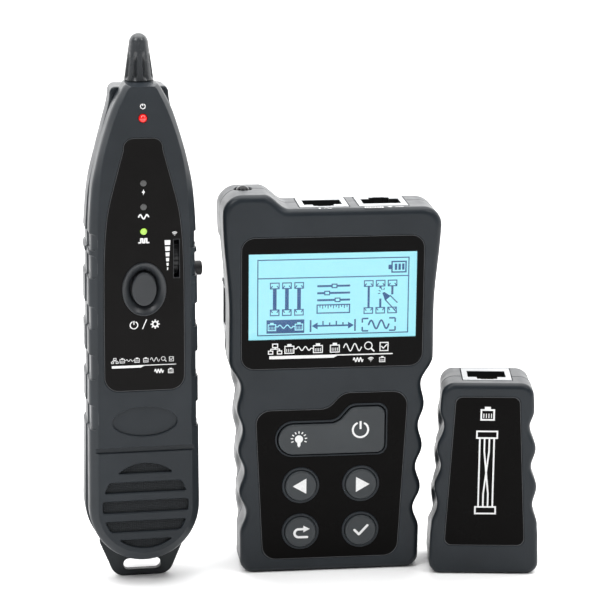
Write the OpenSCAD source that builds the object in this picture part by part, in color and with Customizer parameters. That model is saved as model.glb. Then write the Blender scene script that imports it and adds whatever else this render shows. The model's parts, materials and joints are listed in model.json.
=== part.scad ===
/* [Kit layout] */
// Centre line of the emitter, left to right
emitter_x = 5.5; // [4:0.1:7]
// Front plane of the emitter
emitter_y = -9.3; // [-10:0.1:-8]
// Centre line of the receiver
receiver_x = -53; // [-60:0.1:-53]
// Front plane of the receiver
receiver_y = -20.9; // [-24:0.1:-18]
// Centre line of the remote
remote_x = 54.1; // [54:0.1:60]
// Front plane of the remote
remote_y = -14.8; // [-16:0.1:-10]
// Turn of the emitter on the table
emitter_turn = 3.5; // [0:0.5:4]
// Turn of the receiver on the table
receiver_turn = 6.5; // [0:0.5:8]
// Turn of the remote on the table
remote_turn = -4; // [-6:0.5:0]

/* [Emitter] */
// Thickness, front to back
emitter_depth = 30; // [29:0.5:34]
// Height of the top face that carries the jacks
emitter_top = 118; // [117.6:0.1:118.4]
// Height of the raised corner with the lamp
lamp_top = 122.6; // [122:0.1:124]
// Radius of the front edge
front_edge = 2.2; // [1.5:0.1:2.4]
// Spacing of the finger scoops
scoop_pitch = 13.7; // [13.2:0.1:14]
// Travel of each round key
key_travel = 0.8; // [0.4:0.1:0.8]
// Radius of a round key
key_r = 4.95; // [4.4:0.05:5]

/* [Receiver] */
// Thickness, front to back
receiver_depth = 24; // [23.5:0.5:28]
// Height of the flat top of the case
receiver_top = 158.6; // [158:0.1:159.4]
// Height of the probe tip
tip_top = 172.9; // [171:0.1:176]
// Travel of the power button
button_travel = 0.8; // [0.4:0.1:0.8]
// Radius of the sensitivity wheel
wheel_r = 7.5; // [7:0.1:7.6]

/* [Remote] */
// Thickness, front to back
remote_depth = 22.5; // [21.5:0.5:26]
// Height of the remote
remote_top = 63; // [62:0.5:65]

/* [Standard parts] */
// Width of a jack body
jack_w = 15.4; // [15:0.1:15.6]
// Width of the plug opening in a jack
plug_w = 11.9; // [11.7:0.1:12]
// Running clearance round keys and pins
run_gap = 0.08; // [0.05:0.01:0.1]

/* [Hidden] */
$fn = 48;
WALL = 2.2;
SEAT = 0.15;            // gap round a panel that drops into a recess
PART_Y = 11.5;          // emitter parting plane
R_PART_Y = 9;           // receiver parting plane
M_PART_Y = 9;           // remote parting plane
SHELL = [0.27, 0.29, 0.31];
GRIP = [0.40, 0.42, 0.44];
INK = [0.08, 0.08, 0.09];
BOARD = [0.10, 0.35, 0.20];
GOLD = [0.80, 0.65, 0.30];
STEEL = [0.70, 0.70, 0.72];
WHITE = [0.86, 0.87, 0.88];

// ---- shared outline functions ----

// Width at height z, easing from key to key with a level start and end
function ease(keys, z) =
    let(last = len(keys) - 1)
    z <= keys[0][0] ? keys[0][1]
    : z >= keys[last][0] ? keys[last][1]
    : let(i = max([for (k = [0:last - 1]) if (keys[k][0] <= z) k]),
          t = (z - keys[i][0]) / (keys[i + 1][0] - keys[i][0]))
      keys[i][1] + (keys[i + 1][1] - keys[i][1]) * (1 - cos(180 * t)) / 2;

// Slope of a key table at key k
function slope(keys, k) =
    let(a = max(k - 1, 0), b = min(k + 1, len(keys) - 1))
    (keys[b][1] - keys[a][1]) / (keys[b][0] - keys[a][0]);

// Width at height z on one smooth curve through every key
function flow(keys, z) =
    let(last = len(keys) - 1)
    z <= keys[0][0] ? keys[0][1]
    : z >= keys[last][0] ? keys[last][1]
    : let(i = max([for (k = [0:last - 1]) if (keys[k][0] <= z) k]),
          h = keys[i + 1][0] - keys[i][0],
          t = (z - keys[i][0]) / h)
      keys[i][1] * (2 * pow(t, 3) - 3 * pow(t, 2) + 1)
      + slope(keys, i) * h * (pow(t, 3) - 2 * pow(t, 2) + t)
      + keys[i + 1][1] * (3 * pow(t, 2) - 2 * pow(t, 3))
      + slope(keys, i + 1) * h * (pow(t, 3) - pow(t, 2));

function arc(c, r, a0, a1, steps) =
    [for (k = [0:steps]) let(a = a0 + (a1 - a0) * k / steps)
        [c[0] + r * cos(a), c[1] + r * sin(a)]];

function unit(v) = v / norm(v);
function turned(v, a) =
    [v[0] * cos(a) - v[1] * sin(a), v[0] * sin(a) + v[1] * cos(a)];

// Arc that rounds corner p between neighbours a and b
function fillet(a, p, b, r, steps) =
    let(u = unit(a - p), v = unit(b - p), t = acos(u * v),
        c = p + unit(u + v) * r / sin(t / 2),
        s = p + u * r / tan(t / 2) - c,
        e = p + v * r / tan(t / 2) - c,
        way = cross(s, e) > 0 ? 1 : -1)
    [for (k = [0:steps]) c + turned(s, way * (180 - t) * k / steps)];

// Outline with corners [x, z, radius]
function rounded(corners, steps = 6) =
    let(n = len(corners), at = [for (c = corners) [c[0], c[1]]])
    [for (i = [0:n - 1])
        each corners[i][2] == 0 ? [at[i]]
        : fillet(at[(i + n - 1) % n], at[i], at[(i + 1) % n],
                 corners[i][2], steps)];

function round_box(x0, z0, x1, z1, r) =
    rounded([[x0, z0, r], [x1, z0, r], [x1, z1, r], [x0, z1, r]]);

function oval(x, z, rx, rz, steps = 48) =
    [for (k = [0:steps - 1])
        [x + rx * cos(360 * k / steps), z + rz * sin(360 * k / steps)]];

function mirrored(chain) =
    [for (i = [len(chain) - 1:-1:0]) [-chain[i][0], chain[i][1]]];

// ---- shared building blocks ----

// Front view outline given depth from y0 to y1
module slab(y0, y1) {
    translate([0, y1, 0])
        rotate([90, 0, 0])
            linear_extrude(y1 - y0)
                children();
}

module outline(points, y0, y1) {
    slab(y0, y1)
        polygon(points);
}

module block(x0, y0, z0, x1, y1, z1) {
    translate([x0, y0, z0])
        cube([x1 - x0, y1 - y0, z1 - z0]);
}

module rod_y(x, z, r, y0, y1) {
    translate([x, y1, z])
        rotate([90, 0, 0])
            cylinder(r = r, h = y1 - y0);
}

module rod_x(y, z, r, x0, x1) {
    translate([x0, y, z])
        rotate([0, 90, 0])
            cylinder(r = r, h = x1 - x0);
}

module rod_z(x, y, r, z0, z1) {
    translate([x, y, z0])
        cylinder(r = r, h = z1 - z0);
}

// Closed skin through rings [y, right chain, left chain], each chain running
// from the bottom to the top with the same number of points
module loft(rings) {
    n = len(rings[0][1]);
    m = 2 * n;
    last = len(rings) - 1;
    points = [for (r = rings)
        each concat(
            [for (p = r[1]) [p[0], r[0], p[1]]],
            [for (i = [n - 1:-1:0]) [r[2][i][0], r[0], r[2][i][1]]])];
    front = [for (i = [0:n - 2])
        each [[i, m - 1 - i, m - 2 - i], [i, m - 2 - i, i + 1]]];
    back = [for (f = front) [f[0] + last * m, f[2] + last * m, f[1] + last * m]];
    sides = [for (k = [0:last - 1], i = [0:m - 1])
        let(a = k * m + i, b = k * m + (i + 1) % m)
        each [[a, b, b + m], [a, b + m, a + m]]];
    polyhedron(points = points, faces = concat(front, back, sides));
}

// Rings of a quarter round edge of radius r that starts at y and turns inwards
function edge_rings(y, r, way, steps = 4) =
    [for (k = [0:steps]) let(a = 90 * k / steps)
        [y + way * r * (1 - cos(a)), r * (1 - sin(a))]];

// Self-tapping screw along Y with its head at the back
module back_screw(x, z, tip_y, head_y, shank_r, head_r) {
    difference() {
        union() {
            rod_y(x, z, shank_r, tip_y, head_y);
            rod_y(x, z, head_r, head_y, head_y + 1.5);
        }
        block(x - 1.4, head_y + 0.7, z - 0.3, x + 1.4, head_y + 2, z + 0.3);
        block(x - 0.3, head_y + 0.7, z - 1.4, x + 0.3, head_y + 2, z + 1.4);
    }
}

// Upright 8-way jack: mouth up, latch notch towards the front or the back
module up_jack(x, y, z0, z1, depth_y, latch) {
    mid = y + depth_y / 2;
    latch_y = latch == "front" ? -1 : 1;
    difference() {
        block(x - jack_w / 2, y, z0, x + jack_w / 2, y + depth_y, z1);
        block(x - plug_w / 2, mid - 3.4, z0 + 1.2, x + plug_w / 2, mid + 3.4, z1 + 1);
        block(x - 3.2, mid + latch_y * 4.2 - 1.2, z0 + 3, x + 3.2,
              mid + latch_y * 4.2 + 1.2, z1 + 1);
        block(x - 1.9, mid + latch_y * 5.2 - 0.6, z0 + 3, x + 1.9,
              mid + latch_y * 5.2 + 0.6, z1 + 1);
    }
}

// Eight spring contacts of an upright jack, on the wall away from the latch
module up_contacts(x, y, z0, z1, depth_y, latch) {
    mid = y + depth_y / 2;
    wall = latch == "front" ? mid + 2.6 : mid - 3.4;
    for (k = [0:7])
        block(x - 3.79 + k * 1.02, wall, z0 + 1.4, x - 3.35 + k * 1.02,
              wall + 0.8, z1 - 2.4);
}

// ---- emitter ----

// Front scoops and the back bulges behind them, counted down from the waist
TROUGH = [for (k = [3:-1:0]) 61 - scoop_pitch * k];
CREST = [for (k = [3:-1:0]) 54.2 - scoop_pitch * k];
FRONT_SIDE = concat(
    [[4, 28.6]],
    [for (i = [0:3]) each [[CREST[i], 28.7 + 0.35 * i], [TROUGH[i], 26.8 + 0.6 * i]]],
    [[70, 32.3], [84, 32.2], [116, 34.2]]);
BACK_SIDE = concat(
    [[4, 27.6]],
    [for (i = [0:3]) each [[CREST[i], 27.3 + 0.35 * i], [TROUGH[i], 28.1 + 0.55 * i]]],
    [[70, 31.6], [84, 32.2], [116, 34.2]]);

SIDE_STEPS = 46;
ARC_STEPS = 5;
RISE_STEPS = 8;
LAMP_EDGE = -21.5;      // where the raised corner becomes level
RISE_FOOT = -13.5;      // where its slope meets the top face

function side_samples(keys, z0, z1, steps, d) =
    [for (i = [1:steps - 1]) let(z = z0 + (z1 - z0) * i / steps)
        [ease(keys, z) - d, z]];

function emitter_right(keys, d, drop) =
    let(rb = 4 - 0.6 * d, rt = 6 - 0.7 * d,
        zb = d + rb, zt = emitter_top - drop - rt)
    concat(
        arc([ease(keys, zb) - d - rb, zb], rb, -90, 0, ARC_STEPS),
        side_samples(keys, zb, zt, SIDE_STEPS, d),
        arc([ease(keys, zt) - d - rt, zt], rt, 0, 90, ARC_STEPS),
        [for (k = [0:RISE_STEPS]) let(t = k / RISE_STEPS)
            [RISE_FOOT - 0.5 * d + (LAMP_EDGE - RISE_FOOT) * t,
             emitter_top - drop
             + (lamp_top - emitter_top) * (1 - cos(180 * t)) / 2]]);

function emitter_left(keys, d, drop) =
    let(rb = 4 - 0.6 * d, rt = 6 - 0.7 * d,
        zb = d + rb, zt = lamp_top - drop - rt)
    [for (p = concat(
        arc([ease(keys, zb) - d - rb, zb], rb, -90, 0, ARC_STEPS),
        side_samples(keys, zb, zt, SIDE_STEPS + RISE_STEPS + 1, d),
        arc([ease(keys, zt) - d - rt, zt], rt, 0, 90, ARC_STEPS)))
        [-p[0], p[1]]];

// Rings at [depth, inset of the sides, drop of the top face]
function emitter_rings(keys, insets) =
    [for (q = insets)
        [q[0], emitter_right(keys, q[1], q[2]), emitter_left(keys, q[1], q[2])]];

FRONT_INSETS = [for (q = concat(edge_rings(0, front_edge, 1), [[PART_Y, 0]]))
    [q[0], q[1], q[1]]];
BACK_INSETS = [
    [PART_Y, 0, 0], [17.4, 0, 0], [19.6, 0, 0.35], [emitter_depth - 8, 0, 1.05],
    [emitter_depth - 4, 0.6, 2.6], [emitter_depth - 1.6, 1.8, 3.8],
    [emitter_depth - 0.4, 3.0, 4.4], [emitter_depth, 4, 4.8]];

EMITTER_CAVITY = [
    [-24.2, 2.8], [24.2, 2.8], [24.9, 58], [29.8, 68], [31.2, 112],
    [31.2, 115.4], [-16, 115.4], [-21, 120], [-31.2, 120], [-31.2, 112],
    [-29.8, 68], [-24.9, 58]];

// The cavity is lower behind the jacks, where the top face falls away
REAR_CAVITY_Y = 20.5;
REAR_CAVITY = [
    [-24.2, 2.8], [24.2, 2.8], [24.9, 58], [29.8, 68], [31, 109.6], [-31, 109.6],
    [-29.8, 68], [-24.9, 58]];

EMITTER_BOSSES = [[-20.6, 7.2], [20.6, 7.2], [-27.3, 109.7], [27.3, 109.7]];
WINDOW = [-28.6, 67.3, 28.6, 109.4];
KEYS = [[-9.6, 29], [9.6, 29], [-9.6, 13.65], [9.6, 13.65]];
KEY_RING = 6;
TOP_JACKS = [[-2.4, "front"], [16.2, "back"]];
JACK_FRONT = 3.5;
JACK_DEPTH = 13.6;
JACK_FOOT = 106.8;
SIDE_JACKS = [98.8, 82.7];
SIDE_JACK_Y = 13.2;
CHARGE_Z = 69.6;
LAMP = [-27, PART_Y];
KEY_BACK = 3.05;        // rear face of a round key at rest
MEMBRANE_Y = KEY_BACK + key_travel + 0.1;
EMITTER_PCB_Y = 7.3;
DOOR = [-20, 14, 20, 68];

// Outline of the two-icon key and its collar, inset by d
function rocker_outline(d) = rounded([
    [-17.9 + d, 38.4 + d, 5.9 - d], [17.9 - d, 38.4 + d, 3.2 - 0.6 * d],
    [17.9 - d, 55.5 - d, 3.2 - 0.6 * d], [5.8 + 0.5 * d, 55.5 - d, 4.2 - 0.5 * d],
    [1.3 + 0.5 * d, 50.3 - d, 4.8], [-17.9 + d, 50.3 - d, 5.9 - d]]);

function plate_outline(d) = rounded([
    [-21.6 + d, 4.45 + d, 4.5], [21.6 - d, 4.45 + d, 4.5],
    [24.3 - d, 59.1 - d, 4.5], [3.6 + 0.5 * d, 59.1 - d, 5.5],
    [-1.2 + 0.5 * d, 53.9 - d, 5.5], [-24.1 + d, 53.9 - d, 4.5]]);

module at_emitter() {
    translate([emitter_x, emitter_y, 0])
        rotate([0, 0, emitter_turn])
            children();
}

module top_jack_cuts() {
    for (j = TOP_JACKS)
        block(j[0] - jack_w / 2 - 0.25, JACK_FRONT - 0.25, 112,
              j[0] + jack_w / 2 + 0.25, JACK_FRONT + JACK_DEPTH + 0.25, 126);
    rod_z(LAMP[0], LAMP[1], 2.8, 116, 126);
}

module emitter_front_shell() {
    color(SHELL)
        at_emitter() {
            difference() {
                loft(emitter_rings(FRONT_SIDE, FRONT_INSETS));
                outline(EMITTER_CAVITY, WALL, PART_Y + 1);
                outline(round_box(WINDOW[0] - SEAT, WINDOW[1] - SEAT,
                                  WINDOW[2] + SEAT, WINDOW[3] + SEAT, 4.4), -1, 1.1);
                block(-27, -1, 75.6, 27, WALL + 1, 104.8);
                outline(plate_outline(-SEAT), -1, 0.6);
                top_jack_cuts();
                outline(rocker_outline(0.7), -1, WALL + 1);
                for (k = KEYS)
                    rod_y(k[0], k[1], key_r + run_gap, -1, WALL + 1);
            }
            difference() {
                outline(rocker_outline(0.05), -0.35, 0.7);
                outline(rocker_outline(0.7), -1, 1);
            }
            for (k = KEYS)
                difference() {
                    rod_y(k[0], k[1], KEY_RING - 0.05, -0.35, 0.7);
                    rod_y(k[0], k[1], key_r + run_gap, -1, 1);
                }
            for (b = EMITTER_BOSSES)
                difference() {
                    rod_y(b[0], b[1], 2.7, WALL - 0.4, PART_Y);
                    rod_y(b[0], b[1], 1.05, 4, PART_Y + 1);
                }
        }
}

module emitter_back_shell() {
    back_y = emitter_depth - WALL;
    color(SHELL)
        at_emitter()
            difference() {
                union() {
                    difference() {
                        loft(emitter_rings(BACK_SIDE, BACK_INSETS));
                        outline(EMITTER_CAVITY, PART_Y - 1, REAR_CAVITY_Y);
                        outline(REAR_CAVITY, REAR_CAVITY_Y - 1, back_y);
                    }
                    for (b = EMITTER_BOSSES)
                        rod_y(b[0], b[1], 2.9, PART_Y, back_y + 0.4);
                }
                for (b = EMITTER_BOSSES) {
                    rod_y(b[0], b[1], 1.3, PART_Y - 1, emitter_depth + 1);
                    rod_y(b[0], b[1], 2.2, 14, emitter_depth + 1);
                }
                top_jack_cuts();
                for (z = SIDE_JACKS)
                    block(-40, SIDE_JACK_Y - 0.2, z - jack_w / 2 - 0.2,
                          -26, SIDE_JACK_Y + JACK_DEPTH + 0.2, z + jack_w / 2 + 0.2);
                rod_x(20, CHARGE_Z, 2.6, -40, -26);
                outline(round_box(DOOR[0], DOOR[1], DOOR[2], DOOR[3], 2.5),
                        emitter_depth - 1.6, emitter_depth + 1);
                outline(round_box(DOOR[0] + 1.6, DOOR[1] + 1.6, DOOR[2] - 1.6,
                                  DOOR[3] - 1.6, 1.5), back_y - 1, emitter_depth + 1);
            }
}

module emitter_battery_door() {
    top = DOOR[3] - SEAT;
    color(SHELL)
        at_emitter()
            difference() {
                outline(round_box(DOOR[0] + SEAT, DOOR[1] + SEAT, DOOR[2] - SEAT,
                                  top, 2.4), emitter_depth - 1.6, emitter_depth);
                for (k = [0:4])
                    block(-7, emitter_depth - 0.5, top - 5 - 1.8 * k,
                          7, emitter_depth + 1, top - 4.2 - 1.8 * k);
            }
}

module emitter_screws() {
    color(STEEL)
        at_emitter()
            for (b = EMITTER_BOSSES)
                back_screw(b[0], b[1], 5, 14, 1, 2.1);
}

module display_window() {
    color(INK)
        at_emitter()
            outline(round_box(WINDOW[0], WINDOW[1], WINDOW[2], WINDOW[3], 4.2),
                    0.05, 1.05);
}

module lcd_module() {
    color([0.62, 0.92, 0.98])
        at_emitter()
            block(-28.2, 2.3, 74.6, 28.2, 4.3, 104.9);
}

module lcd_backlight() {
    color(WHITE)
        at_emitter()
            block(-28.2, 4.4, 74.6, 28.2, 6.6, 104.9);
}

module keypad_plate() {
    color(INK)
        at_emitter()
            difference() {
                outline(plate_outline(0), 0.1, 0.6);
                outline(rocker_outline(0), 0, 1);
                for (k = KEYS)
                    rod_y(k[0], k[1], KEY_RING, 0, 1);
            }
}

module keypad_membrane() {
    color([0.30, 0.30, 0.32])
        at_emitter() {
            outline(round_box(-17.4, 7, 17.4, 57.5, 2), MEMBRANE_Y, MEMBRANE_Y + 0.8);
            for (k = KEYS)
                rod_y(k[0], k[1], 2, MEMBRANE_Y + 0.7, EMITTER_PCB_Y - 0.1);
            for (x = [-12, 9.5])
                rod_y(x, 45, 2, MEMBRANE_Y + 0.7, EMITTER_PCB_Y - 0.1);
        }
}

// The two-icon key rocks on the ridge across its back
ROCK_X = 3.5;
ROCK_Y = 2.8;

module rocker_key() {
    color(GRIP)
        at_emitter() {
            outline(rocker_outline(1.05), -1.1, 2);
            block(ROCK_X - 1, 1.9, 40.5, ROCK_X + 1, ROCK_Y, 50);
            rod_z(ROCK_X, ROCK_Y, 1, 40.5, 50);
        }
}

module round_key(k) {
    color(GRIP)
        at_emitter() {
            rod_y(k[0], k[1], key_r, -1.1, WALL + 0.1);
            rod_y(k[0], k[1], key_r + 0.9, WALL + 0.05, KEY_BACK);
        }
}

module key_left() {
    round_key(KEYS[0]);
}

module key_right() {
    round_key(KEYS[1]);
}

module key_back() {
    round_key(KEYS[2]);
}

module key_ok() {
    round_key(KEYS[3]);
}

module emitter_pcb() {
    color(BOARD)
        at_emitter()
            outline([[-17.4, 4], [17.4, 4], [17.4, 11], [23.2, 11], [23.2, 60],
                     [28.6, 68], [28.6, 104.9], [-28.6, 104.9], [-28.6, 68],
                     [-23.2, 60], [-23.2, 11], [-17.4, 11]],
                    EMITTER_PCB_Y, EMITTER_PCB_Y + 1.6);
}

module jack_board() {
    color(BOARD)
        at_emitter()
            block(-12, 3, 105.1, 24.4, 20, 106.7);
}

module emitter_buzzer() {
    color(INK)
        at_emitter()
            difference() {
                rod_y(10, 92, 6, 8.95, 14.5);
                rod_y(10, 92, 1, 12, 15);
            }
}

module flash_led() {
    color([0.75, 0.78, 0.80])
        at_emitter() {
            rod_z(LAMP[0], LAMP[1], 2.4, 113, 120.5);
            translate([LAMP[0], LAMP[1], 120.5])
                difference() {
                    sphere(r = 2.4);
                    translate([-4, -4, -8])
                        cube([8, 8, 8]);
                }
        }
}

module poe_jack() {
    color(WHITE)
        at_emitter()
            up_jack(TOP_JACKS[0][0], JACK_FRONT, JACK_FOOT, emitter_top + 0.1,
                    JACK_DEPTH, TOP_JACKS[0][1]);
}

module length_jack() {
    color(WHITE)
        at_emitter()
            up_jack(TOP_JACKS[1][0], JACK_FRONT, JACK_FOOT, emitter_top + 0.1,
                    JACK_DEPTH, TOP_JACKS[1][1]);
}

module emitter_top_contacts() {
    color(GOLD)
        at_emitter()
            for (j = TOP_JACKS)
                up_contacts(j[0], JACK_FRONT, JACK_FOOT, emitter_top, JACK_DEPTH, j[1]);
}

// A side jack is an upright jack laid with its mouth to the left
module to_side(z) {
    translate([-18, 0, z])
        rotate([0, -90, 0])
            children();
}

module side_jack() {
    color(WHITE)
        at_emitter()
            to_side(SIDE_JACKS[0])
                up_jack(0, SIDE_JACK_Y, 0, 13.8, JACK_DEPTH, "front");
}

module loop_jack() {
    color(WHITE)
        at_emitter()
            to_side(SIDE_JACKS[1])
                up_jack(0, SIDE_JACK_Y, 0, 13.8, JACK_DEPTH, "front");
}

module side_contacts() {
    color(GOLD)
        at_emitter()
            for (z = SIDE_JACKS)
                to_side(z)
                    up_contacts(0, SIDE_JACK_Y, 0, 13.8, JACK_DEPTH, "front");
}

module charge_port() {
    color(INK)
        at_emitter() {
            difference() {
                union() {
                    block(-28.6, 16.2, CHARGE_Z - 3.7, -19, 23.8, CHARGE_Z + 3.7);
                    rod_x(20, CHARGE_Z, 2.5, -31.2, -28);
                }
                rod_x(20, CHARGE_Z, 1.8, -32, -21);
            }
            rod_x(20, CHARGE_Z, 0.6, -30.6, -20.5);
        }
}

module emitter_battery() {
    color([0.25, 0.45, 0.75])
        at_emitter()
            outline(round_box(-18, 17, 18, 66, 1.5), 16, 26.5);
}

// ---- receiver ----

// Half widths of the flat front, of the front shell where it meets the back
// shell, and of the back shell
FACE_SIDE = [
    [26, 14.6], [61, 14.3], [108, 14], [126, 13.2], [135, 12.2], [143.8, 9.95],
    [152, 6.9], [158.6, 3.7]];
SEAM_SIDE = [
    [26, 17.2], [61, 16.9], [108, 16.5], [126, 15.5], [133, 14.3], [142, 12],
    [151.5, 8.9], [158.6, 5.2]];
REAR_SIDE = [
    [26, 17.9], [61, 17.3], [108, 17], [122, 16.2], [129, 15.2], [137, 13.2],
    [145, 11.1], [152, 9.3], [156, 8.9], [160.4, 8.8]];
CHIN_Z = 26;            // height at which the round chin begins
CHIN_DROP = 18.2;       // depth of the chin below that
SHOULDER_Z = receiver_top - 1.8;
R_SIDE_STEPS = 40;
CHIN_STEPS = 12;

function receiver_chain(w_chin, drop, top, corner, widths) =
    concat(
        [for (k = [0:CHIN_STEPS]) let(a = -84 + 84 * k / CHIN_STEPS)
            [w_chin * cos(a), CHIN_Z + drop * sin(a)]],
        [for (i = [1:R_SIDE_STEPS]) let(z = CHIN_Z + (top - corner - CHIN_Z)
                                        * i / R_SIDE_STEPS)
            [flow(widths, z), z]],
        [for (k = [1:3]) let(a = 30 * k)
            [flow(widths, top) - corner * (1 - cos(a)), top - corner * (1 - sin(a))]]);

// Key table part of the way from table a to table b, less an inset
function between(a, b, m, d) =
    [for (z = [for (k = a) k[0]]) [z, flow(a, z) * (1 - m) + flow(b, z) * m - d]];

function receiver_ring(y, a, b, m, d, drop, top, corner) =
    let(w = between(a, b, m, d),
        chain = receiver_chain(w[0][1], drop, top - d * 0.5, corner, w))
    [y, chain, [for (p = chain) [-p[0], p[1]]]];

RECEIVER_FRONT = [for (q = [[0, 0], [0.3, 0.14], [2.2, 0.82], [3.2, 1], [R_PART_Y, 1]])
    receiver_ring(q[0], FACE_SIDE, SEAM_SIDE, q[1], 0, 14.5 + 3.6 * q[1],
                  receiver_top - 0.4 * (1 - q[1]), 0.6)];
RECEIVER_REAR = [for (q = [[R_PART_Y, 0], [receiver_depth - 6, 0.2],
                           [receiver_depth - 2.5, 1], [receiver_depth - 0.7, 2.4],
                           [receiver_depth, 3.8]])
    receiver_ring(q[0], REAR_SIDE, REAR_SIDE, 1, q[1], CHIN_DROP - q[1],
                  SHOULDER_Z, 1.6)];

// Grip notches: [height of the middle, height of the notch]
NOTCHES = [[110.7, 5.2], [103, 7.3], [87, 7.3], [71.4, 8], [55.4, 7.9]];
NOTCH_IN = 16;
GRILLE_Z = 26.7;
GRILLE = [13.35, 13.95];
GRILLE_T = 1;           // thickness of the bars between the slots
SLOTS = [[37.4, 41], [31.1, 34.6], [24.6, 28.5], [18.3, 21.9], [12.5, 15.8]];
LED_Z = [148.7, 128.9, 121.6, 114];
BUTTON_Z = 96.1;
WHEEL = [9.95, 8.2, 105.35];
R_BOSSES = [[-9.2, 139], [9.2, 139], [-12.4, 21.5], [12.4, 21.5]];
R_DOOR = [-13, 27, 13, 78];
LAMP_KEY = [13.6, 98.9];
TIP_Y = 10;
TIP_NOSE = 2.9;         // radius of the round nose of the tip
R_PCB_Y = 9.6;
CAVITY_TOP = 151.5;

// Half of the faceplate outline, from the bottom to the top
PLATE_SIDE = [
    [64, 12.35], [98, 12.25], [110.4, 11.85], [118.7, 11.05], [123.9, 10],
    [133.4, 7.5], [139, 6]];
PLATE_FOOT_R = 4.6;

function plate_chain(d) = concat(
    arc([12.35 - PLATE_FOOT_R, 64 + PLATE_FOOT_R], PLATE_FOOT_R - d, -90, 0, 6),
    [for (i = [1:24]) let(z = 64 + PLATE_FOOT_R + (139 - 64 - PLATE_FOOT_R) * i / 24)
        [flow(PLATE_SIDE, z) - d, z]],
    arc([2.9, 139.6], 3.1 - d, 12, 90, 5));

function faceplate_outline(d) = concat(plate_chain(d), mirrored(plate_chain(d)));

function receiver_cavity(inset, top) =
    [for (s = [1, -1]) let(
        side = concat(
            [for (k = [0:6]) let(a = -84 + 84 * k / 6)
                [(14.6 - inset) * cos(a), CHIN_Z + (14.5 - inset) * sin(a)]],
            [for (z = [60, 108, 126, 135, 143, top]) [flow(FACE_SIDE, z) - inset, z]]))
        each (s == 1 ? side : mirrored(side))];

module at_receiver() {
    translate([receiver_x, receiver_y, 0])
        rotate([0, 0, receiver_turn])
            children();
}

module notch_cuts(y0, y1, reach) {
    for (n = NOTCHES, s = [0, 1])
        mirror([s, 0, 0])
            outline(rounded([[reach, n[0] - n[1] / 2, 2.2], [22, n[0] - n[1] / 2, 0],
                             [22, n[0] + n[1] / 2, 0], [reach, n[0] + n[1] / 2, 2.2]]),
                    y0, y1);
}

module tip_seat() {
    rod_z(0, TIP_Y, 3.45, CAVITY_TOP - 1, receiver_top + 2);
}

module receiver_front_shell() {
    color(SHELL)
        at_receiver()
            difference() {
                union() {
                    difference() {
                        loft(RECEIVER_FRONT);
                        outline(receiver_cavity(2, CAVITY_TOP), WALL, R_PART_Y + 1);
                        notch_cuts(-1, R_PART_Y + 1, NOTCH_IN);
                        outline(faceplate_outline(-SEAT), -1, 0.55);
                        outline(oval(0, 54, 10, 4.7), -1, 0.8);
                        outline(round_box(-16.4, 44.2, 16.4, 45.9, 0.8), -1, 0.8);
                        outline(oval(0, GRILLE_Z, GRILLE[0] + 0.25, GRILLE[1] + 0.25),
                                GRILLE_T, WALL + 1);
                        for (s = SLOTS)
                            intersection() {
                                outline(oval(0, GRILLE_Z, GRILLE[0], GRILLE[1]),
                                        -1, WALL + 1);
                                block(-20, -2, s[0], 20, WALL + 2, s[1]);
                            }
                        outline(oval(0, BUTTON_Z, 6.05, 7.65), -1, WALL + 1);
                        block(WHEEL[0] - 0.95, -1, 99.3, WHEEL[0] + 0.95, WALL + 1,
                              111.4);
                        for (z = LED_Z)
                            rod_y(0, z, 1.35, -1, WALL + 1);
                        tip_seat();
                    }
                    for (b = R_BOSSES)
                        rod_y(b[0], b[1], 2.1, WALL - 0.3, R_PART_Y);
                }
                for (b = R_BOSSES)
                    rod_y(b[0], b[1], 0.85, 3.4, R_PART_Y + 1);
            }
}

// Arms of the loop that pass into the chin of the back shell
LOOP_Y = 10.5;
LOOP_T = 2.6;

module loop_profile() {
    difference() {
        polygon(rounded([[-8.6, 0, 4.5], [8.6, 0, 4.5], [13.4, 11.5, 2], [12.8, 15, 0],
                         [-12.8, 15, 0], [-13.4, 11.5, 2]]));
        polygon(rounded([[-5.8, 2, 2.2], [5.8, 2, 2.2], [5.8, 16, 0], [-5.8, 16, 0]]));
    }
}

module receiver_back_shell() {
    back_y = receiver_depth - WALL;
    color(SHELL)
        at_receiver()
            difference() {
                union() {
                    difference() {
                        loft(RECEIVER_REAR);
                        outline(receiver_cavity(0.2, CAVITY_TOP), R_PART_Y - 1, back_y);
                    }
                    for (b = R_BOSSES)
                        rod_y(b[0], b[1], 2.3, R_PART_Y, back_y + 0.3);
                    difference() {
                        rod_z(0, TIP_Y, 5, SHOULDER_Z - 1, receiver_top - 0.1);
                        block(-6, TIP_Y - 6, SHOULDER_Z - 2, 6, R_PART_Y, receiver_top);
                    }
                }
                for (b = R_BOSSES) {
                    rod_y(b[0], b[1], 1, R_PART_Y - 1, receiver_depth + 1);
                    rod_y(b[0], b[1], 1.75, 12, receiver_depth + 1);
                }
                notch_cuts(R_PART_Y - 1, receiver_depth + 1, 16.6);
                slab(LOOP_Y, LOOP_Y + LOOP_T)
                    loop_profile();
                rod_x(LAMP_KEY[0], LAMP_KEY[1], 2.3 + run_gap, 12, 20);
                outline(round_box(R_DOOR[0], R_DOOR[1], R_DOOR[2], R_DOOR[3], 2),
                        receiver_depth - 1.5, receiver_depth + 1);
                outline(round_box(R_DOOR[0] + 1.4, R_DOOR[1] + 1.4, R_DOOR[2] - 1.4,
                                  R_DOOR[3] - 1.4, 1), back_y - 1, receiver_depth + 1);
                tip_seat();
            }
}

module lanyard_loop() {
    color([0.18, 0.20, 0.21])
        at_receiver()
            slab(LOOP_Y, LOOP_Y + LOOP_T)
                loop_profile();
}

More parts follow.
